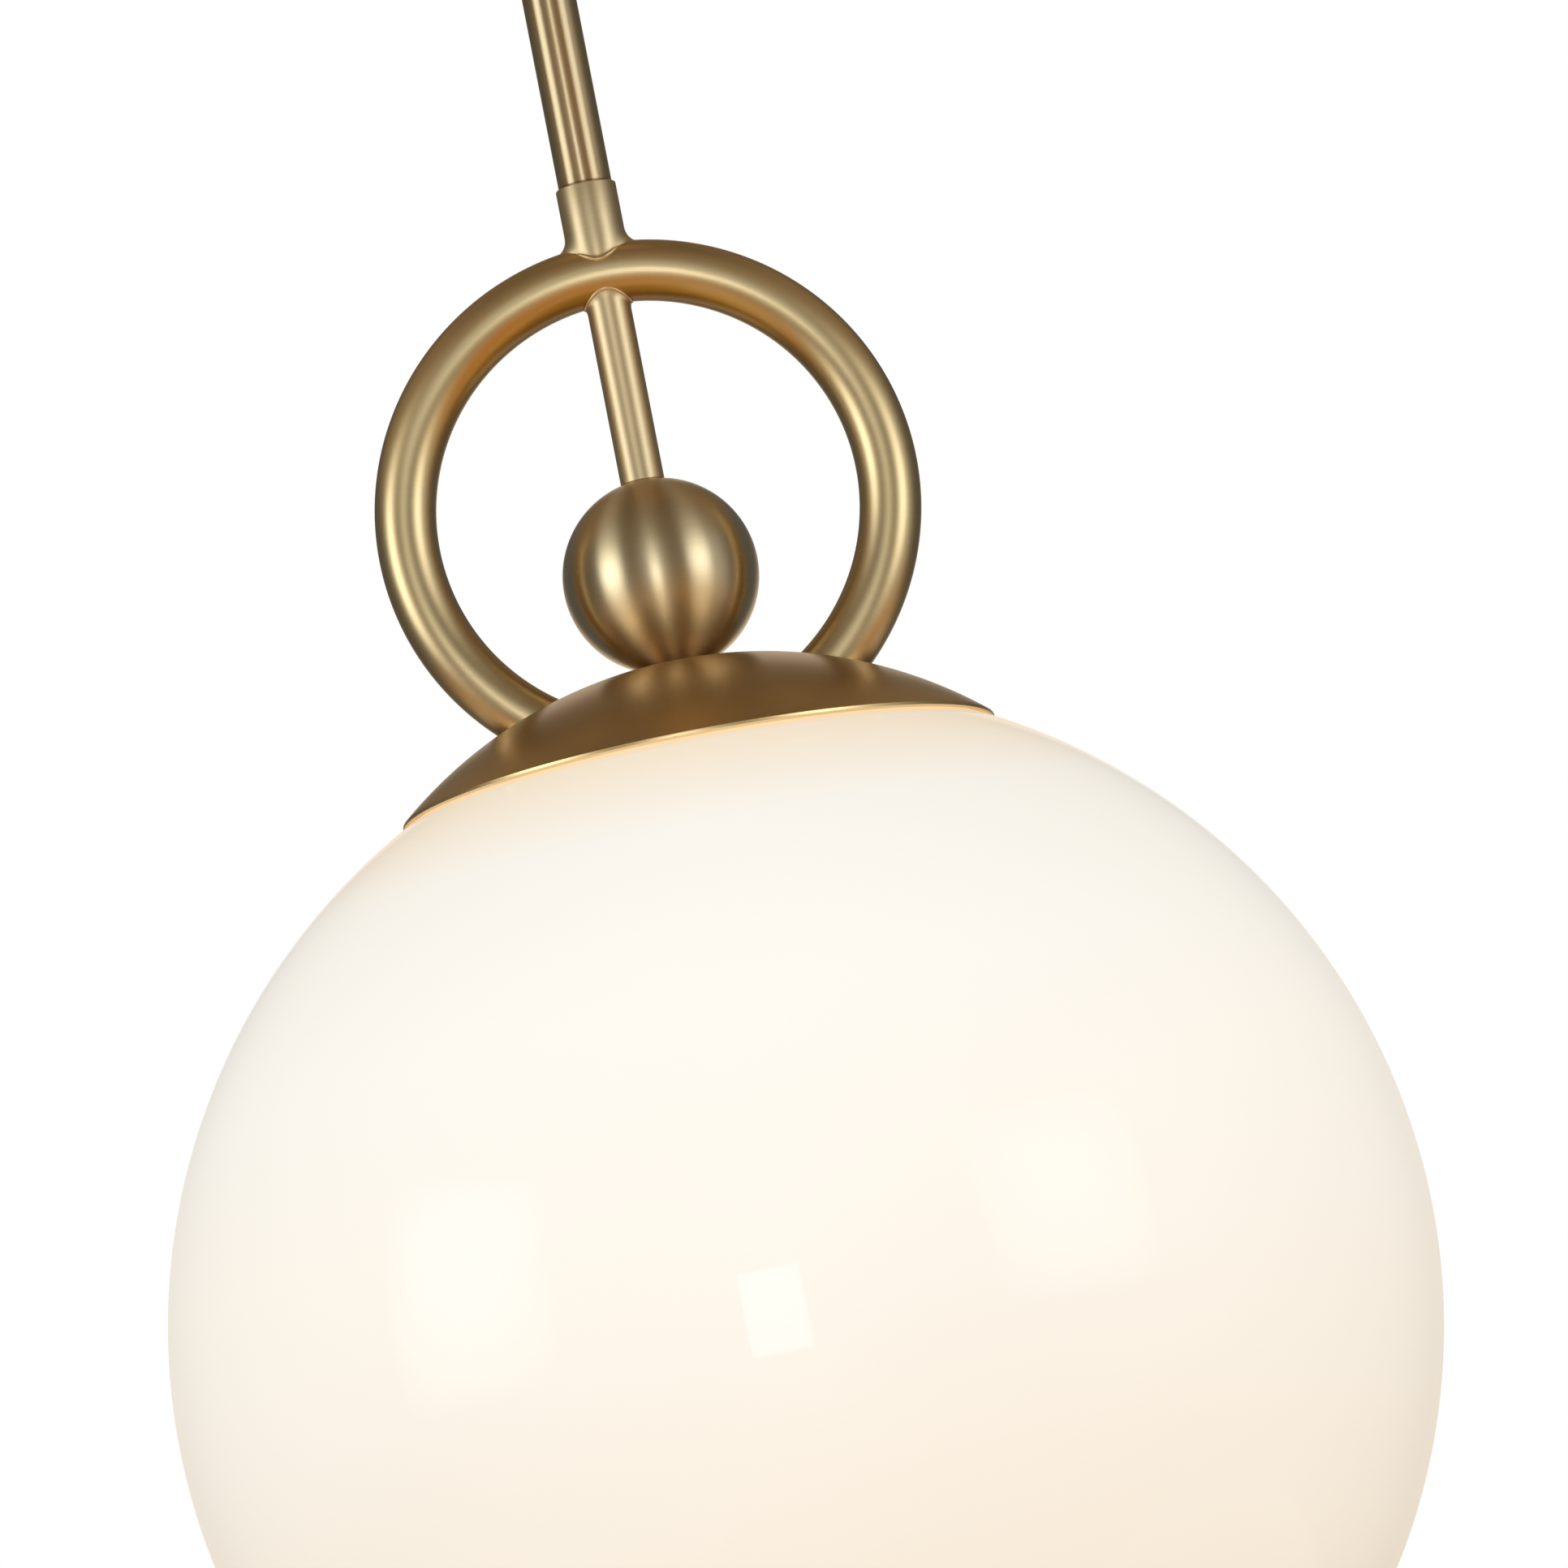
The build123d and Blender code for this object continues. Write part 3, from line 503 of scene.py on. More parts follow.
# Each finish: the slot that it fills, the function that makes it and that function's own values
FINISHES = {
    "turned_brass": ("brass", lathe_brass, "brass", 1.0, 0.25, 1.0),
    "ball_brass": ("brass", lathe_brass, "ball_brass", 0.92, 0.3, 0.9),
    "satin_brass": ("brass", lathe_brass, "brass", 1.22, 0.25, 0.4),
    "ring_brass": ("brass", ring_brass),
    "spun_brass": ("brass", spun_brass),
    "opal_glass": ("opal_glass", opal_glass),
    "plated_steel": ("zinc_steel", plated, (0.62, 0.62, 0.60)),
    "nickel": ("bulb_nickel", plated, (0.72, 0.71, 0.68)),
    "bright_brass": ("contact_brass", plated, (0.80, 0.58, 0.27)),
    "green_steel": ("ground_green", enamel, (0.10, 0.36, 0.16)),
    "enamel": ("white_metal", enamel, (0.86, 0.85, 0.82)),
    "porcelain": ("porcelain", porcelain),
    "lit_diffuser": ("bulb_opal", lit_diffuser),
    "nylon": ("liner_nylon", moulded, (0.84, 0.82, 0.75), 0.5),
    "wire_nut_plastic": ("wire_nut", moulded, (0.80, 0.36, 0.07), 0.42),
    "black_wire": ("wire_black", moulded, (0.035, 0.035, 0.035), 0.40),
    "white_wire": ("wire_white", moulded, (0.82, 0.82, 0.79), 0.40),
    "green_wire": ("wire_green", moulded, (0.07, 0.33, 0.11), 0.40),
    "black_glass": ("bulb_black", moulded, (0.03, 0.03, 0.03), 0.15),
    "white_plastic": ("bulb_white", moulded, (0.86, 0.86, 0.84), 0.30),
    "silicone": ("seal_rubber", moulded, (0.76, 0.76, 0.73), 0.62),
}


def finish(name):
    """The material of a finish, made once."""
    material = bpy.data.materials.get("pendant_" + name)
    if material is None:
        material = bpy.data.materials.new("pendant_" + name)
        _, recipe, *values = FINISHES[name]
        recipe(Tree(material), bpy.context.scene.pendant_finishes, *values)
    return material


def face_out(bm):
    bmesh.ops.recalc_face_normals(bm, faces=bm.faces[:])


def move(bm, x=0.0, y=0.0, z=0.0, verts=None):
    """Moves a shape, or some of its points, and gives the shape back."""
    bmesh.ops.translate(bm, verts=verts or bm.verts[:], vec=(x, y, z))
    return bm


def place(bm, *steps):
    """Puts a shape where a row of matrices sends it. The last one acts first."""
    for step in reversed(steps):
        bmesh.ops.transform(bm, verts=bm.verts[:], matrix=step)


def turned(angle, axis):
    return Matrix.Rotation(angle, 4, axis)


def sweep(bm, axis, angle, steps):
    """Turns what is drawn about an axis. A full turn closes on itself."""
    line = [float(axis == name) for name in "XYZ"]
    drawn = bm.verts[:] + bm.edges[:]
    bmesh.ops.spin(bm, geom=drawn, axis=line, angle=angle, steps=steps, use_merge=angle >= 2 * pi)


def board(width, height):
    """A flat rectangle in the XY plane."""
    bm = bmesh.new()
    bmesh.ops.create_grid(bm, x_segments=1, y_segments=1, size=0.5)
    bmesh.ops.scale(bm, verts=bm.verts[:], vec=(width, height, 1))
    return bm


class Section:
    """A half section in the XZ plane, drawn from its tip and turned about Z."""

    def __init__(self, radius, height):
        self.bm = bmesh.new()
        self.start = self.tip = self.bm.verts.new((radius, 0, height))

    def line(self, radius, height):
        """A straight run to a point."""
        point = self.bm.verts.new((radius, 0, height))
        self.bm.edges.new((self.tip, point))
        self.tip = point
        return self

    def arc(self, radius, height, turn, steps):
        """Sweeps the tip round a centre, by degrees, anticlockwise as seen from the front."""
        middle = (radius, 0, height)
        made = bmesh.ops.spin(
            self.bm, geom=[self.tip], cent=middle, axis=(0, -1, 0), angle=radians(turn), steps=steps
        )
        self.tip = next(v for v in made["geom_last"] if isinstance(v, bmesh.types.BMVert))
        return self

    def thread(self, radius, height, pitch, depth):
        """The ridges of a screw thread up or down to a level."""
        start = self.tip.co.z
        turns = max(1, round(abs(height - start) / pitch))
        rise = (height - start) / turns
        for turn in range(turns):
            self.line(radius - depth, start + (turn + 0.25) * rise)
            self.line(radius, start + (turn + 0.5) * rise)
            self.line(radius, start + (turn + 0.75) * rise)
        return self.line(radius - depth, height)

    def turn(self, steps=96, edge=0.0, closed=True):
        """The solid that the section makes. Its edges are broken to the given width."""
        bm = self.bm
        if closed:
            bm.edges.new((self.tip, self.start))
        sweep(bm, "Z", 2 * pi, steps)
        bmesh.ops.remove_doubles(bm, verts=bm.verts[:], dist=1e-7)
        face_out(bm)
        if edge:
            break_edges(bm, edge)
        return bm


def break_edges(bm, width, segments=2):
    """Rounds the edges of a shape."""
    edges = [edge for edge in bm.edges if edge.is_manifold and edge.calc_face_angle() > BROKEN_ANGLE]
    bmesh.ops.bevel(
        bm, geom=edges, offset=width, affect="EDGES", segments=segments, profile=0.5, material=-1,
        clamp_overlap=True,
    )


def flute(bm, count, depth, low, high):
    """Presses upright flutes into the outside of a turned piece between two levels."""
    widest = max(hypot(v.co.x, v.co.y) for v in bm.verts)
    for v in bm.verts:
        radius = hypot(v.co.x, v.co.y)
        if low <= v.co.z <= high and radius > 0.6 * widest:
            cut = depth * max(0.0, cos(count * atan2(v.co.y, v.co.x)))
            v.co.xy *= 1 - cut / radius


def plate(bm, low, high):
    """Fills the outlines drawn at zero and gives them a thickness between two levels."""
    bmesh.ops.triangle_fill(bm, edges=bm.edges[:], use_beauty=True)
    made = bmesh.ops.extrude_face_region(bm, geom=bm.faces[:], use_keep_orig=True)
    top = [v for v in made["geom"] if isinstance(v, bmesh.types.BMVert)]
    move(bm, z=low)
    move(bm, z=high - low, verts=top)
    face_out(bm)


def rounded_outline(bm, length, width, corner, x=0.0):
    """A flat rectangle's edges with round corners."""
    made = bmesh.ops.create_grid(bm, x_segments=1, y_segments=1, size=0.5)["verts"]
    bmesh.ops.scale(bm, verts=made, vec=(length, width, 1))
    move(bm, x, verts=made)
    bmesh.ops.bevel(
        bm, geom=made, offset=corner * 0.999, affect="VERTICES", segments=10, profile=0.5, material=-1
    )
    bmesh.ops.delete(bm, geom=bm.faces[:], context="FACES_ONLY")


def hex_nut(flats, bore, low, high):
    bm = bmesh.new()
    bmesh.ops.create_circle(bm, segments=6, radius=flats / sqrt(3))
    bmesh.ops.create_circle(bm, segments=36, radius=bore)
    plate(bm, low, high)
    break_edges(bm, 0.3 * MM)
    return bm


def ring_level(x, y, side):
    """Level of the ring's surface near its top: the crown for side 1, the inside for side -1."""
    across = RING_R + side * sqrt(max(0.0, RING_TUBE_R**2 - y * y))
    return RING_Z + sqrt(across**2 - x * x)


def piece(name, body, look, shapes, *nodes):
    """One object from bmeshes. It stands for the CAD nodes named, and rides on the body, if any."""
    whole = bmesh.new()
    for shape in shapes if isinstance(shapes, (list, tuple)) else [shapes]:
        part = bpy.data.meshes.new("part")
        shape.to_mesh(part)
        shape.free()
        whole.from_mesh(part)
        bpy.data.meshes.remove(part)
    mesh = bpy.data.meshes.new(name)
    whole.to_mesh(mesh)
    whole.free()
    mesh.shade_smooth()
    mesh.set_sharp_from_angle(angle=SHARP_ANGLE)
    mesh.materials.append(finish(look))
    made = bpy.data.objects.new(name, mesh)
    bpy.context.scene.collection.objects.link(made)
    if body:
        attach(made, body)
    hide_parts(*nodes)
    return made


def dress(look, *nodes):
    """Gives CAD nodes that are shown as they are their finish."""
    for name in nodes:
        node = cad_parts[name]
        if not node.material_slots:
            node.data.materials.append(None)
        for slot in node.material_slots:
            slot.material = finish(look)


def carve(made, tool):
    """Cuts the shape of a bmesh out of a finished piece."""
    mesh = bpy.data.meshes.new("tool")
    tool.to_mesh(mesh)
    tool.free()
    cutter = bpy.data.objects.new("tool", mesh)
    bpy.context.scene.collection.objects.link(cutter)
    cut = made.modifiers.new("cut", "BOOLEAN")
    cut.object = cutter
    cut.solver = "EXACT"
    shape = made.evaluated_get(bpy.context.evaluated_depsgraph_get())
    result = bpy.data.meshes.new_from_object(shape)
    made.modifiers.clear()
    old = made.data
    made.data = result
    result.name = old.name
    bpy.data.meshes.remove(old)
    bpy.data.meshes.remove(mesh)


class PENDANT_OT_canopy(Operator):
    """Make the brass pan at the ceiling"""

    bl_idname = "pendant.canopy"
    bl_label = "Canopy"

    def execute(self, context):
        size = context.scene.pendant_sizes
        r, low, edge, sheet = CANOPY_R, CANOPY_LOW, size.canopy_edge, size.canopy_sheet
        hole = SEAT_MOUTH_R + HOLE_ROOM
        pan = Section(hole, low).line(r - edge, low).arc(r - edge, low + edge, 90, 12)
        pan.line(r, 0).line(r - sheet, 0).line(r - sheet, low + edge)
        pan.arc(r - edge, low + edge, -90, 12).line(hole, low + sheet)
        made = piece("brass_canopy", "canopy", "turned_brass", pan.turn(160, size.edge_break), "canopy")
        bore = STUD_R + HOLE_ROOM
        for side in (-1, 1):
            drill = bmesh.new()
            bmesh.ops.create_cone(
                drill, cap_ends=True, segments=32, radius1=bore, radius2=bore, depth=4 * sheet
            )
            carve(made, move(drill, side * STUD_X, z=low))
        return {"FINISHED"}


class PENDANT_OT_canopy_fixings(Operator):
    """Make the crossbar, its studs and nuts, and the knurled nuts that hold the canopy"""

    bl_idname = "pendant.canopy_fixings"
    bl_label = "Canopy fixings"

    def execute(self, context):
        low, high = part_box("crossbar")
        bar = bmesh.new()
        corner, slot_length, slot_width, slot_x = 5.5 * MM, 9.0 * MM, 5.0 * MM, 44.45 * MM
        rounded_outline(bar, high.x - low.x, high.y - low.y, corner)
        for side in (-1, 1):
            rounded_outline(bar, slot_length, slot_width, slot_width / 2, side * slot_x)
        for x in (-STUD_X, STUD_X, GROUND_X):
            hole = bmesh.ops.create_circle(bar, segments=32, radius=STUD_R)["verts"]
            move(bar, x, verts=hole)
        plate(bar, low.z, high.z)
        break_edges(bar, 0.25 * MM)
        piece("steel_crossbar", "canopy", "plated_steel", bar, "crossbar")
        studs, lock_nuts, knobs = [], [], []
        stud_low, stud_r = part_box("crossbar_studs")[0].z, STUD_R - FIT
        nut_low, nut_high = (end.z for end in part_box("stud_nuts"))
        nut_flats, knob_low, r, edge = 7.0 * MM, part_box("canopy_cap_nuts")[0].z, 5.5 * MM, 2.5 * MM
        for side in (-1, 1):
            stud = Section(0, stud_low).line(stud_r - THREAD_START, stud_low)
            stud.thread(stud_r, -FIT, STUD_PITCH, STUD_THREAD).line(0, -FIT)
            studs.append(move(stud.turn(24, closed=False), side * STUD_X))
            lock_nuts.append(move(hex_nut(nut_flats, STUD_R, nut_low, nut_high), side * STUD_X))
            knob = Section(STUD_R, CANOPY_LOW).line(r, CANOPY_LOW)
            for step in range(1, 9):
                knob.line(r, CANOPY_LOW + (knob_low + edge - CANOPY_LOW) * step / 8)
            knob.arc(r - edge, knob_low + edge, -90, 10).line(0, knob_low)
            knob.line(0, stud_low - FIT).line(STUD_R, stud_low - FIT)
            shape = knob.turn(240)
            flute(shape, 24, 0.4 * MM, knob_low + 1.5 * MM, CANOPY_LOW - 0.5 * MM)
            knobs.append(move(shape, side * STUD_X))
        piece("threaded_studs", "canopy", "plated_steel", studs, "crossbar_studs")
        piece("lock_nuts", "canopy", "plated_steel", lock_nuts, "stud_nuts")
        piece("knurled_nuts", "canopy", "turned_brass", knobs, "canopy_cap_nuts")
        dress("green_steel", "ground_screw")
        return {"FINISHED"}


class PENDANT_OT_swivel(Operator):
    """Make the seat, the key pin and the ball that the stem hangs from"""

    bl_idname = "pendant.swivel"
    bl_label = "Swivel"

    def execute(self, context):
        edge = context.scene.pendant_sizes.edge_break
        floor, z = CANOPY_FLOOR, SWIVEL_Z
        flange = floor + 2.5 * MM
        seat = Section(SEAT_MOUTH_R, floor).line(SEAT_FLANGE_R, floor).line(SEAT_FLANGE_R, flange)
        seat.line(SEAT_OUT_R, flange).line(SEAT_OUT_R, SEAT_TOP).line(SEAT_IN_R, SEAT_TOP)
        seat.line(SEAT_IN_R, z).arc(0, z, -SEAT_OPENING, 14)
        piece("swivel_cup", "canopy", "plated_steel", seat.turn(96, edge), "swivel_seat")
        dress("nylon", "swivel_liner")
        low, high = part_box("swivel_pin")
        head_r, pin_r, head_x = high.z - z, 2.0 * MM, high.x - 2.0 * MM
        pin = Section(0, low.x).line(pin_r, low.x).line(pin_r, head_x).line(head_r, head_x)
        pin.line(head_r, high.x).line(0, high.x)
        shape = pin.turn(48, 0.4 * MM, closed=False)
        place(shape, Matrix.Translation((0, 0, z)), turned(radians(90), "Y"))
        piece("key_pin", "swivel_pin", "plated_steel", shape, "swivel_pin")
        rise, drop = SWIVEL_TOP - z, z - STEM_TOP
        arc = degrees(asin(rise / SWIVEL_R) + asin(drop / SWIVEL_R))
        ball = Section(WIRE_BORE_R, SWIVEL_TOP).line(sqrt(SWIVEL_R**2 - rise**2), SWIVEL_TOP)
        thread_top = STEM_TOP + 12 * MM
        ball.arc(0, z, -arc, 40).line(NIPPLE_R, STEM_TOP).line(NIPPLE_R, thread_top)
        ball.line(WIRE_BORE_R, thread_top)
        made = piece("hanging_ball", "pendant", "turned_brass", ball.turn(96), "swivel_ball")
        slot = bmesh.new()
        slot_size, slot_x = (16 * MM, 4.16 * MM, 15.54 * MM), 17.82 * MM
        bmesh.ops.create_cube(slot, size=1.0)
        bmesh.ops.scale(slot, verts=slot.verts[:], vec=slot_size)
        carve(made, move(slot, slot_x, z=z))
        return {"FINISHED"}


class PENDANT_OT_stems(Operator):
    """Make the two lengths of stem and the threaded tubes that join them"""

    bl_idname = "pendant.stems"
    bl_label = "Stems"

    def execute(self, context):
        size = context.scene.pendant_sizes
        for name, node, low, high in (
            ("brass_upper_stem", "upper_stem", STEM_JOINT, STEM_TOP),
            ("brass_lower_stem", "lower_stem", STEM_END, STEM_JOINT),
        ):
            tube = Section(NIPPLE_R, low).line(size.stem_radius, low)
            if node == "lower_stem":
                for sunk, rise in SEAM:
                    tube.line(size.stem_radius - sunk * MM, COLLAR_TOP + rise * MM)
            tube.line(size.stem_radius, high).line(NIPPLE_R, high)
            piece(name, "pendant", "turned_brass", tube.turn(96, size.edge_break), node)
        for node in ("swivel_nipple", "stem_nipple", "collar_nipple"):
            radius, low, high = turned_size(node)
            tube = Section(WIRE_BORE_R, low).line(radius - THREAD_START, low)
            tube.thread(radius, high, TUBE_PITCH, TUBE_THREAD).line(WIRE_BORE_R, high)
            piece("threaded_" + node, "pendant", "plated_steel", tube.turn(40), node)
        return {"FINISHED"}


class PENDANT_OT_ring(Operator):
    """Make the ring of bent tube, cut to the dome at its two ends"""

    bl_idname = "pendant.ring"
    bl_label = "Ring"

    def execute(self, context):
        size = context.scene.pendant_sizes
        above = RING_Z - DOME_Z
        dome = DOME_R - FIT

        def end_angle(radius, y):
            return acos((dome**2 - above**2 - radius**2 - y**2) / (2 * radius * above))

        reach = end_angle(size.ring_radius, 0)
        bm = bmesh.new()
        bmesh.ops.create_circle(bm, segments=56, radius=size.ring_tube)
        upright = turned(-reach, "Y") @ Matrix.Translation((0, 0, size.ring_radius))
        place(bm, upright @ turned(radians(90), "Y"))
        sweep(bm, "Y", 2 * reach, 200)
        for v in bm.verts:
            radius = hypot(v.co.x, v.co.z)
            turn = atan2(v.co.x, v.co.z) / reach * end_angle(radius, v.co.y)
            v.co = (radius * sin(turn), v.co.y, radius * cos(turn))
        move(bm, z=RING_Z)
        face_out(bm)
        bmesh.ops.solidify(bm, geom=bm.faces[:], thickness=RING_WALL)
        piece("bent_ring", "pendant", "ring_brass", bm, "ring")
        dress("plated_steel", "ring_end_plugs", "ring_screws")
        return {"FINISHED"}


class PENDANT_OT_collar(Operator):
    """Make the collar that is brazed on the ring, with its flare and bead"""

    bl_idname = "pendant.collar"
    bl_label = "Collar"

    def execute(self, context):
        size = context.scene.pendant_sizes
        flare = size.braze_flare
        top = RING_TOP + flare
        socket_r = STEM_R + FIT
        tuck = 0.7 * MM  # how far the foot stands back in front and behind
        bead_r, bead_out, bead_rise, span = 0.5 * MM, 0.35 * MM, 0.1 * MM, 40

        def foot(angle):
            """Where the collar's outside meets the ring, seen round the stem."""
            x = (COLLAR_R + flare * cos(angle) ** 4) * cos(angle)
            y = (COLLAR_R - tuck) * sin(angle)
            return Vector((x, y, ring_level(x, y, 1) - FIT))

        collar = Section(socket_r, COLLAR_TOP).line(COLLAR_R, COLLAR_TOP).line(COLLAR_R, top + 2 * MM)
        for step in range(17):
            collar.line(COLLAR_R, RING_TOP + flare * (1 - step / 16))
        collar.line(NIPPLE_R, RING_TOP - 4 * MM).line(NIPPLE_R, STEM_END).line(socket_r, STEM_END)
        shape = collar.turn(120)
        break_edges(shape, 0.3 * MM, 3)
        for v in shape.verts:
            if hypot(v.co.x, v.co.y) > COLLAR_R - 0.01 * MM and v.co.z < top:
                end = foot(atan2(v.co.y, v.co.x))
                turn = radians(90) * (top - v.co.z) / flare
                v.co.xy = v.co.xy.lerp(end.xy, 1 - cos(turn))
                v.co.z = top - (top - end.z) * sin(turn)
        shapes = [shape]
        for side in (-90, 90):
            bead = bmesh.new()
            bmesh.ops.create_circle(bead, segments=16, radius=bead_r)
            start = turned(radians(side - span), "Z") @ Matrix.Translation((COLLAR_R, 0, 0))
            place(bead, start @ turned(radians(90), "X"))
            sweep(bead, "Z", radians(2 * span), 32)
            for v in bead.verts:
                angle = atan2(v.co.y, v.co.x)
                off = (degrees(angle) - side) / span
                middle = Vector((cos(angle), sin(angle), 0)) * COLLAR_R
                thin = max(0.05, sqrt(max(0.0, 1 - off * off)))
                spot = foot(angle).xy + Vector((0, bead_out * sin(angle)))
                v.co = Vector((*spot, ring_level(*spot, 1) + bead_rise)) + (v.co - middle) * thin
            bmesh.ops.holes_fill(bead, edges=bead.edges[:])
            face_out(bead)
            shapes.append(bead)
        piece("brazed_collar", "pendant", "satin_brass", shapes, "ring_collar")
        return {"FINISHED"}


class PENDANT_OT_spindle_and_ball(Operator):
    """Make the rod inside the ring and the ball that it stands on"""

    bl_idname = "pendant.spindle_and_ball"
    bl_label = "Spindle and ball"

    def execute(self, context):
        size = context.scene.pendant_sizes
        r, broken = size.spindle_radius, 0.25 * MM
        top = RING_TOP - 2 * RING_TUBE_R
        tail_r = NIPPLE_R - FIT
        bead_r, bead_out, bead_sunk = 0.28 * MM, 0.5 * MM, 0.1 * MM
        rod = Section(WIRE_BORE_R, top)
        for out, below in SPINDLE_BEAD:
            rod.line(r + out * MM, top - below * MM)
        rod.line(r, SPINDLE_SEAT + broken).line(r - broken, SPINDLE_SEAT)
        rod.line(tail_r - TUBE_THREAD, SPINDLE_SEAT).thread(tail_r, TAIL_END, TUBE_PITCH, TUBE_THREAD)
        rod.line(WIRE_BORE_R, TAIL_END)
        shape = rod.turn(96)
        for v in shape.verts:
            if v.co.z > top - 2 * MM:
                v.co.z += ring_level(v.co.x, v.co.y, -1) - top + FIT
        bead = bmesh.new()
        bmesh.ops.create_circle(bead, segments=12, radius=bead_r)
        place(bead, Matrix.Translation((r + bead_out, 0, 0)) @ turned(radians(90), "X"))
        sweep(bead, "Z", 2 * pi, 96)
        face_out(bead)
        for v in bead.verts:
            v.co.z += ring_level(v.co.x, v.co.y, -1) - bead_sunk
        piece("brass_spindle", "pendant", "satin_brass", [shape, bead], "spindle")
        ball_r, rise, above = size.ball_radius, SPINDLE_SEAT - BALL_Z, BALL_Z - DOME_Z
        drop = (ball_r**2 + above**2 - DOME_R**2) / (2 * above)
        seat_r = sqrt(ball_r**2 - drop**2)
        ball = Section(NIPPLE_R, SPINDLE_SEAT).line(sqrt(ball_r**2 - rise**2), SPINDLE_SEAT)
        ball.arc(0, BALL_Z, -degrees(asin(rise / ball_r) + asin(drop / ball_r)), 72)
        ball.arc(0, DOME_Z, degrees(asin(seat_r / DOME_R) - asin(NIPPLE_R / DOME_R)), 4)
        piece("brass_ball", "pendant", "ball_brass", ball.turn(144), "centre_ball")
        return {"FINISHED"}


class PENDANT_OT_cap(Operator):
    """Make the spun dome over the globe"""

    bl_idname = "pendant.cap"
    bl_label = "Cap"

    def execute(self, context):
        inner = DOME_R - CAP_WALL
        rim = asin(CAP_RIM_R / DOME_R)
        dome = Section(NIPPLE_R, DOME_Z + sqrt(DOME_R**2 - NIPPLE_R**2))
        dome.arc(0, DOME_Z, -degrees(rim - asin(NIPPLE_R / DOME_R)), 72)
        for inward, below in CAP_LIP:
            dome.line(CAP_RIM_R - inward * MM, CAP_LOW - below * MM)
        lip_r = CAP_RIM_R - LIP_WIDTH
        dome.line(lip_r, DOME_Z + sqrt(inner**2 - lip_r**2))
        dome.arc(0, DOME_Z, degrees(asin(lip_r / inner) - asin(NIPPLE_R / inner)), 48)
        piece("spun_cap", "pendant", "spun_brass", dome.turn(200, 0.1 * MM), "cap")
        dress("plated_steel", "cap_washer", "cap_nut", "fitter_spacer", "fitter_nut")
        return {"FINISHED"}


class PENDANT_OT_globe(Operator):
    """Make the opal globe, its seal and the white fitter that it screws into"""

    bl_idname = "pendant.globe"
    bl_label = "Globe"

    def execute(self, context):
        r = context.scene.pendant_sizes.globe_radius
        inner, z = r - GLASS_WALL, GLOBE_LOW + r
        shoulder = z + sqrt(r**2 - SHOULDER_R**2)
        under = shoulder - GLASS_WALL
        under_r = sqrt(inner**2 - (under - z) ** 2)
        glass = Section(0, z - r).arc(0, z, 90 + degrees(acos(SHOULDER_R / r)), 120)
        glass.line(NECK_R, shoulder).line(NECK_R, NECK_TOP).line(NECK_R - NECK_WALL, NECK_TOP)
        glass.line(NECK_R - NECK_WALL, under).line(under_r, under)
        glass.arc(0, z, -90 - degrees(acos(under_r / inner)), 72)
        piece("opal_globe", "globe", "opal_glass", glass.turn(200, 1.0 * MM, closed=False), "globe")
        outer, low, high = turned_size("globe_gasket")
        bore = outer - NECK_WALL
        seal = Section(bore, low).line(outer, low).line(outer, high).line(bore, high)
        piece("seal_ring", "globe_seal", "silicone", seal.turn(120, 0.4 * MM), "globe_gasket")
        sheet = 1.5 * MM
        skirt, floor = FITTER_R - sheet, FITTER_TOP - sheet
        pan = Section(skirt, FITTER_LOW).line(FITTER_R, FITTER_LOW).line(FITTER_R, FITTER_TOP)
        pan.line(NIPPLE_R, FITTER_TOP).line(NIPPLE_R, floor).line(skirt, floor)
        piece("white_fitter", "pendant", "enamel", pan.turn(120, 0.35 * MM), "globe_fitter")
        return {"FINISHED"}


class PENDANT_OT_lampholder(Operator):
    """Make the porcelain lampholder and its contacts"""

    bl_idname = "pendant.lampholder"
    bl_label = "Lampholder"

    def execute(self, context):
        top_r, slope = 13.0 * MM, 12.0 * MM
        chamber_r, chamber_top, chamber_floor = 10.5 * MM, TAIL_END, TAIL_END - 13.0 * MM
        contact_r, cavity_top = 3.3 * MM, chamber_floor - 4.0 * MM
        shell_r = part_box("socket_shell")[1].x + FIT
        body = Section(NIPPLE_R, SOCKET_TOP).line(top_r, SOCKET_TOP).line(SOCKET_R, SOCKET_TOP - slope)
        body.line(SOCKET_R, SOCKET_LOW).line(shell_r, SOCKET_LOW).line(shell_r, cavity_top)
        body.line(contact_r, cavity_top).line(contact_r, chamber_floor).line(chamber_r, chamber_floor)
        body.line(chamber_r, chamber_top).line(NIPPLE_R, chamber_top)
        piece("porcelain_lampholder", "pendant", "porcelain", body.turn(96, 0.5 * MM), "socket_body")
        dress("nickel", "socket_shell")
        dress("bright_brass", "socket_terminals", "centre_contact")
        return {"FINISHED"}


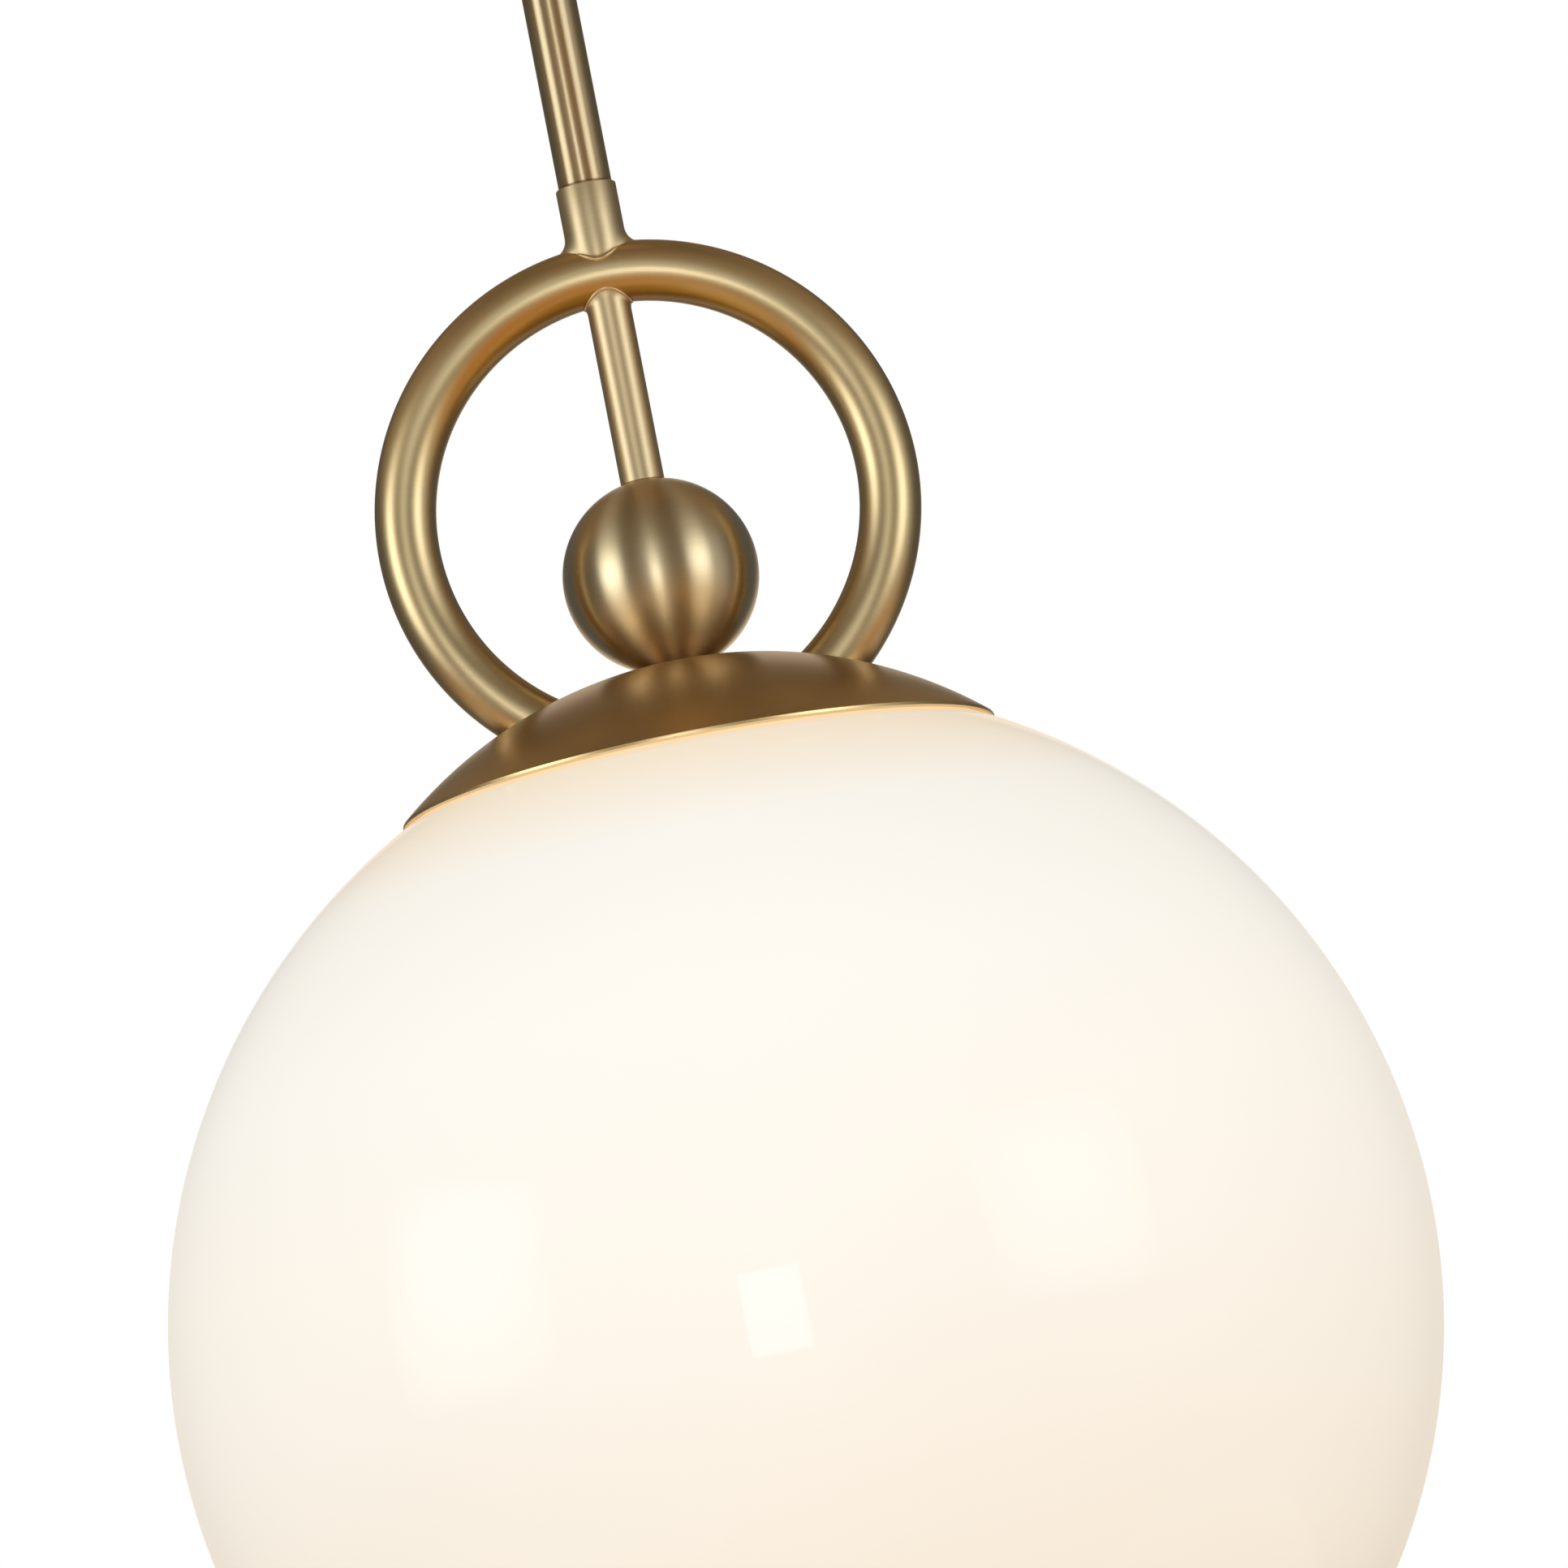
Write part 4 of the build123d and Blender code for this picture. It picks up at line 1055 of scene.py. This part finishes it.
class PENDANT_OT_lamp(Operator):
    """Make the lit lamp with its screw base"""

    bl_idname = "pendant.lamp"
    bl_label = "Lamp"

    def execute(self, context):
        r, low, top = BULB_BASE_R, BULB_BASE_LOW, BULB_BASE_TOP
        pitch, depth, sheet = 3.63 * MM, 0.7 * MM, 0.5 * MM
        skirt, thread_low, bore = low + 1.5 * MM, low + 2.0 * MM, r - depth - sheet
        base = Section(0, top).line(r - 2 * depth, top).line(r - depth, top - 0.8 * MM)
        base.thread(r, thread_low, pitch, depth).line(r, skirt).line(r, low).line(r - sheet, low)
        base.line(r - sheet, skirt).line(bore, thread_low).line(bore, top - sheet).line(0, top - sheet)
        piece("lamp_base", "bulb", "nickel", base.turn(96, closed=False), "bulb_base")
        z = BULB_LOW + BULB_R
        wall = 1.6 * MM
        inner = BULB_R - wall
        rise = BULB_RIM - z
        mouth = 90 + degrees(asin(rise / BULB_R))
        bowl = Section(0, BULB_LOW).arc(0, z, mouth, 60).line(sqrt(inner**2 - rise**2), BULB_RIM)
        bowl.arc(0, z, -90 - degrees(asin(rise / inner)), 40)
        piece("lamp_diffuser", "bulb", "lit_diffuser", bowl.turn(96, closed=False), "bulb_envelope")
        dress("white_plastic", "bulb_housing", "bulb_led_board")
        dress("nickel", "bulb_tip")
        dress("black_glass", "bulb_insulator")
        return {"FINISHED"}


class PENDANT_OT_wiring(Operator):
    """Make the wire connectors and the wires in the canopy"""

    bl_idname = "pendant.wiring"
    bl_label = "Wiring"

    def execute(self, context):
        nuts = []
        mouth, floor = WIRE_NUT_TOP, CANOPY_FLOOR
        tip_r, flared_r, mouth_r = 4.2 * MM, 5.7 * MM, 6.0 * MM
        bore_r, bore_end = 2.0 * MM, mouth - 8.0 * MM
        for step in (-1, 0, 1):
            nut = Section(0, floor).line(tip_r, floor)
            for rise in range(1, 13):
                nut.line(tip_r + (flared_r - tip_r) * rise / 12, floor + (mouth - floor) * 0.85 * rise / 12)
            nut.line(mouth_r, mouth - 2.2 * MM).line(mouth_r, mouth).line(bore_r, mouth)
            nut.line(bore_r, bore_end).line(0, bore_end)
            shape = nut.turn(96, closed=False)
            flute(shape, 12, 0.35 * MM, floor + 1.5 * MM, mouth - 3.0 * MM)
            break_edges(shape, 0.3 * MM)
            nuts.append(move(shape, step * WIRE_NUT_STEP, WIRE_NUT_Y))
        piece("wire_connectors", "canopy", "wire_nut_plastic", nuts, "wire_nuts")
        ground_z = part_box("ground_screw")[0].z - 1.0 * MM
        green = [
            (GROUND_X, 0, ground_z),
            (GROUND_X, SEAT_OUT_R, ground_z),
            (WIRE_NUT_STEP, WIRE_NUT_Y, ground_z),
            (WIRE_NUT_STEP, WIRE_NUT_Y, WIRE_END),
        ]
        piece("green_wire_tail", "canopy", "green_wire", self.wire(green), "ground_tail")
        self.tail("black", "black_wire", LEAD_X, 0, "live_tail")
        self.tail("white", "white_wire", -LEAD_X, -WIRE_NUT_STEP, "neutral_tail")
        dress("black_wire", "live_lead")
        dress("white_wire", "neutral_lead")
        return {"FINISHED"}

    def tail(self, colour, look, start, end, node):
        """A wire from the swivel ball to a connector, in two lengths."""
        route = [
            Vector((start, 0, SWIVEL_TOP)),
            Vector((start, 0, TAIL_Z)),
            Vector((2 * start, SEAT_OUT_R, TAIL_Z)),
            Vector((end, WIRE_NUT_Y, TAIL_Z)),
            Vector((end, WIRE_NUT_Y, WIRE_END)),
        ]
        first, second, third, fourth, _ = route
        middle = (2 * first + 5 * second + third) / 8
        along = (second + third) / 2 - first
        low = piece(f"{colour}_wire_bend", None, look, self.wire(route, middle, along), node)
        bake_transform(low)
        high = piece(f"{colour}_wire_tail", None, look, self.wire(route, middle, -along), node)
        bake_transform(high)

    def wire(self, points, cut=None, away=None):
        """A wire on a smooth curve. What lies past the cut, on the side that away points to, goes."""
        curve = bpy.data.curves.new("route", "CURVE")
        curve.dimensions = "3D"
        curve.bevel_depth = WIRE_R
        curve.bevel_resolution = 5
        curve.use_fill_caps = True
        spline = curve.splines.new("NURBS")
        spline.points.add(len(points) - 1)
        for point, spot in zip(spline.points, points):
            point.co = (*spot, 1.0)
        spline.order_u = 3
        spline.use_endpoint_u = True
        spline.resolution_u = 16
        holder = bpy.data.objects.new("route", curve)
        mesh = bpy.data.meshes.new_from_object(holder)
        wire = bmesh.new()
        wire.from_mesh(mesh)
        bpy.data.meshes.remove(mesh)
        bpy.data.objects.remove(holder)
        bpy.data.curves.remove(curve)
        bmesh.ops.remove_doubles(wire, verts=wire.verts[:], dist=0.001 * MM)
        if cut:
            whole = wire.verts[:] + wire.edges[:] + wire.faces[:]
            sliced = bmesh.ops.bisect_plane(wire, geom=whole, plane_co=cut, plane_no=away, clear_outer=True)
            loop = [part for part in sliced["geom_cut"] if isinstance(part, bmesh.types.BMEdge)]
            bmesh.ops.edgeloop_fill(wire, edges=loop)
        face_out(wire)
        return wire


# Name, azimuth, elevation, distance, width, height, level and fade of each softbox
SOFTBOXES = (
    ("softbox_left", -58, 12, 2.0, 1.20, 1.25, 1.05, 0.7),
    ("softbox_right", 50, 9, 2.0, 1.20, 1.15, 0.93, 0.7),
    ("softbox_front", -4.1, -1.2, 2.7, 0.50, 0.68, 1.4, 0.05),
)

# Bearing, width and level of each pale strip on the screens, in degrees from the front
STRIPS = ((-4, 12, 1.0), (-4, 45, 0.08), (72, 16, 0.6), (-58, 16, 0.3), (50, 16, 0.3))

# Where the screens change colour: degrees from the front, then levels and a distance from the axis
BEHIND_TURN = (146.0, 168.0)
REAR_TURN = (168.0, 172.0)
FRONT_TURN = (125.0, 75.0)
BEHIND_TOP = (0.4, -0.3)
OVER_FLOOR = (-1.7, -0.9)
WARM_LEVELS = (-1.4, -2.1)
LID_LEVELS = (0.7, 1.5)
LID_REACH = (0.3, 1.6)

FLOOR_WIDTH = 12.0
FLOOR_FADE = (0.8, 5.0)  # from the light's axis
REFLECTOR_SIZE = (1.9, 1.0)
REFLECTOR_PLACE = (0.55, -0.85, -1.35)


class PENDANT_OT_stage(Operator):
    """Set up the floor, the studio light and the camera"""

    bl_idname = "pendant.stage"
    bl_label = "Stage"

    def execute(self, context):
        stage = context.scene.pendant_stage
        context.scene.view_settings.view_transform = "Standard"
        self.world(context)
        self.floor(stage)
        self.screens(stage)
        self.reflector(stage)
        for values in SOFTBOXES:
            self.softbox(stage, *values)
        camera = bpy.data.cameras.new("camera")
        camera.lens = stage.lens
        camera.sensor_width = 36.0
        holder = bpy.data.objects.new("camera", camera)
        turn = turned(radians(90) + stage.tilt, "X") @ turned(stage.roll, "Z")
        away = Matrix.Translation((0, 0, stage.distance))
        holder.matrix_world = Matrix.Translation(stage.aim) @ turn @ away
        context.scene.collection.objects.link(holder)
        context.scene.camera = holder
        return {"FINISHED"}

    def world(self, context):
        world = bpy.data.worlds.new("studio")
        context.scene.world = world
        tree = Tree(world)
        seen, _ = tree.rays()
        white = tree.add("ShaderNodeBackground", {}, {"Color": (1, 1, 1, 1), "Strength": 1.0})
        dim = tree.add("ShaderNodeBackground", {}, {"Color": (1, 1, 1, 1), "Strength": 0.3})
        shown = tree.add("ShaderNodeMixShader", {}, {0: seen, 1: dim, 2: white})
        tree.add("ShaderNodeOutputWorld", {}, {"Surface": shown})

    def put(self, name, bm, tree_of, seen=False):
        """Adds a stage object from its bmesh and the function that builds its material."""
        mesh = bpy.data.meshes.new(name)
        bm.to_mesh(mesh)
        bm.free()
        material = bpy.data.materials.new(name)
        tree_of(Tree(material))
        mesh.materials.append(material)
        made = bpy.data.objects.new(name, mesh)
        bpy.context.scene.collection.objects.link(made)
        made.visible_camera = seen

    def floor(self, stage):
        """A pale floor that fades to white far off. From below it is clear."""

        def pale(tree):
            _, x, y, _ = tree.place()
            seen, camera = tree.rays()
            far = tree.smooth(tree.radius(x, y), *FLOOR_FADE) * camera
            glow = tree.emission(tree.mix(far, rgba(stage.floor_colour), (1.0, 1.0, 1.0, 1.0)))
            matt = tree.add("ShaderNodeBsdfDiffuse", {}, {"Color": rgba(stage.floor_colour)})
            shown = tree.add("ShaderNodeMixShader", {}, {0: seen * (far * 0.3 + 0.7), 1: matt, 2: glow})
            clear = tree.add("ShaderNodeBsdfTransparent")
            under = tree.add("ShaderNodeNewGeometry", output="Backfacing")
            tree.output(tree.add("ShaderNodeMixShader", {}, {0: under, 1: shown, 2: clear}))

        self.put("floor", move(board(FLOOR_WIDTH, FLOOR_WIDTH), z=stage.floor_level), pale, True)

    def screens(self, stage):
        """Dark screens all round and a lid, with paler strips in front, on the right and behind."""
        bm = bmesh.new()
        bottom = bm.verts.new((0, stage.screen_radius, stage.floor_level + 0.02))
        top = bm.verts.new((0, stage.screen_radius, stage.screen_top))
        bm.edges.new((bottom, top))
        sweep(bm, "Z", 2 * pi, 90)
        lid = bmesh.ops.create_circle(bm, cap_ends=True, segments=72, radius=stage.screen_radius)["verts"]
        move(bm, z=stage.screen_top, verts=lid)

        def dark(tree):
            _, x, y, z = tree.place()
            bearing = tree.math("ARCTAN2", x, y * -1.0) * degrees(1)
            strips = 0.0
            for middle, width, level in STRIPS:
                off = (bearing - middle) / width
                strips = strips + tree.math("EXPONENT", off * off * -1.0, 0.0) * level
            colour = tree.mix(strips, rgba(stage.screen_colour), rgba(stage.softbox_colour))
            turn = tree.math("ABSOLUTE", bearing, 0.0)
            over_floor = tree.smooth(z, *OVER_FLOOR)
            behind = tree.smooth(turn, *BEHIND_TURN) * tree.smooth(z, *BEHIND_TOP) * over_floor
            colour = tree.mix(behind, colour, rgba(stage.behind_colour))
            low_in_front = tree.smooth(turn, *FRONT_TURN) * tree.smooth(z, *WARM_LEVELS)
            colour = tree.mix(low_in_front, colour, rgba(stage.reflector_colour))
            out = tree.smooth(tree.radius(x, y), *LID_REACH)
            above = tree.mix(out, rgba(stage.lid_middle), rgba(stage.lid_edge))
            colour = tree.mix(tree.smooth(z, *LID_LEVELS), colour, above)
            below_lid = tree.smooth(z, stage.screen_top - 0.01, stage.screen_top - 0.05)
            rear = tree.smooth(turn, *REAR_TURN) * below_lid * over_floor
            tree.output(tree.emission(tree.mix(rear, colour, rgba(stage.rear_colour))))

        self.put("screens", bm, dark)

    def reflector(self, stage):
        """A warm board that lies low in front."""

        def warm(tree):
            tree.output(tree.emission(rgba(stage.reflector_colour)))

        self.put("reflector", move(board(*REFLECTOR_SIZE), *REFLECTOR_PLACE), warm)

    def softbox(self, stage, name, azimuth, elevation, distance, width, height, level, fade):
        """A soft light that faces the globe from a direction seen from the globe."""
        turn = turned(radians(azimuth), "Z") @ turned(-radians(elevation), "X")
        middle = turn @ Vector((0, -distance, 0)) + Vector((0, 0, GLOBE_Z))
        bm = board(width, height)
        place(bm, Matrix.Translation(middle) @ turn, turned(radians(90), "X"))

        def soft(tree):
            frame_of = {"Vector": tree.coordinates(), "Location": middle, "Rotation": turn.to_euler()}
            centred = tree.add("ShaderNodeMapping", {"vector_type": "TEXTURE"}, frame_of)
            split = tree.add("ShaderNodeSeparateXYZ", {}, {"Vector": centred})
            across = split * (2 / width)
            up = split.out("Z") * (2 / height)
            middle_light = tree.math("MAXIMUM", (1 - across * across) * (1 - up * up), 0.0) ** fade
            colour = tree.mix(middle_light, (0, 0, 0, 1), rgba(stage.softbox_colour))
            tree.output(tree.emission(colour, stage.softbox_level * level))

        self.put(name, bm, soft)


class PENDANT_PT_sidebar(Panel):
    """Lists the pieces, sizes and finishes of the pendant light"""

    bl_idname = "PENDANT_PT_sidebar"
    bl_label = "Pendant light"
    bl_space_type = "VIEW_3D"
    bl_region_type = "UI"
    bl_category = "Pendant"

    def draw(self, context):
        scene = context.scene
        for operator in OPERATORS:
            self.layout.operator(operator.bl_idname)
        for group in (scene.pendant_sizes, scene.pendant_finishes, scene.pendant_stage):
            box = self.layout.box()
            for name in type(group).__annotations__:
                box.prop(group, name)


OPERATORS = (
    PENDANT_OT_canopy,
    PENDANT_OT_canopy_fixings,
    PENDANT_OT_swivel,
    PENDANT_OT_stems,
    PENDANT_OT_ring,
    PENDANT_OT_collar,
    PENDANT_OT_spindle_and_ball,
    PENDANT_OT_cap,
    PENDANT_OT_globe,
    PENDANT_OT_lampholder,
    PENDANT_OT_lamp,
    PENDANT_OT_wiring,
    PENDANT_OT_stage,
)
CLASSES = (PendantSizes, PendantFinishes, PendantStage, *OPERATORS, PENDANT_PT_sidebar)


def register():
    for cls in CLASSES:
        bpy.utils.register_class(cls)
    bpy.types.Scene.pendant_sizes = PointerProperty(type=PendantSizes)
    bpy.types.Scene.pendant_finishes = PointerProperty(type=PendantFinishes)
    bpy.types.Scene.pendant_stage = PointerProperty(type=PendantStage)


def unregister():
    del bpy.types.Scene.pendant_stage
    del bpy.types.Scene.pendant_finishes
    del bpy.types.Scene.pendant_sizes
    for cls in reversed(CLASSES):
        bpy.utils.unregister_class(cls)


def main():
    register()
    for operator in OPERATORS:
        name = operator.bl_idname.split(".")[1]
        getattr(bpy.ops.pendant, name)()


if __name__ == "__main__":
    main()
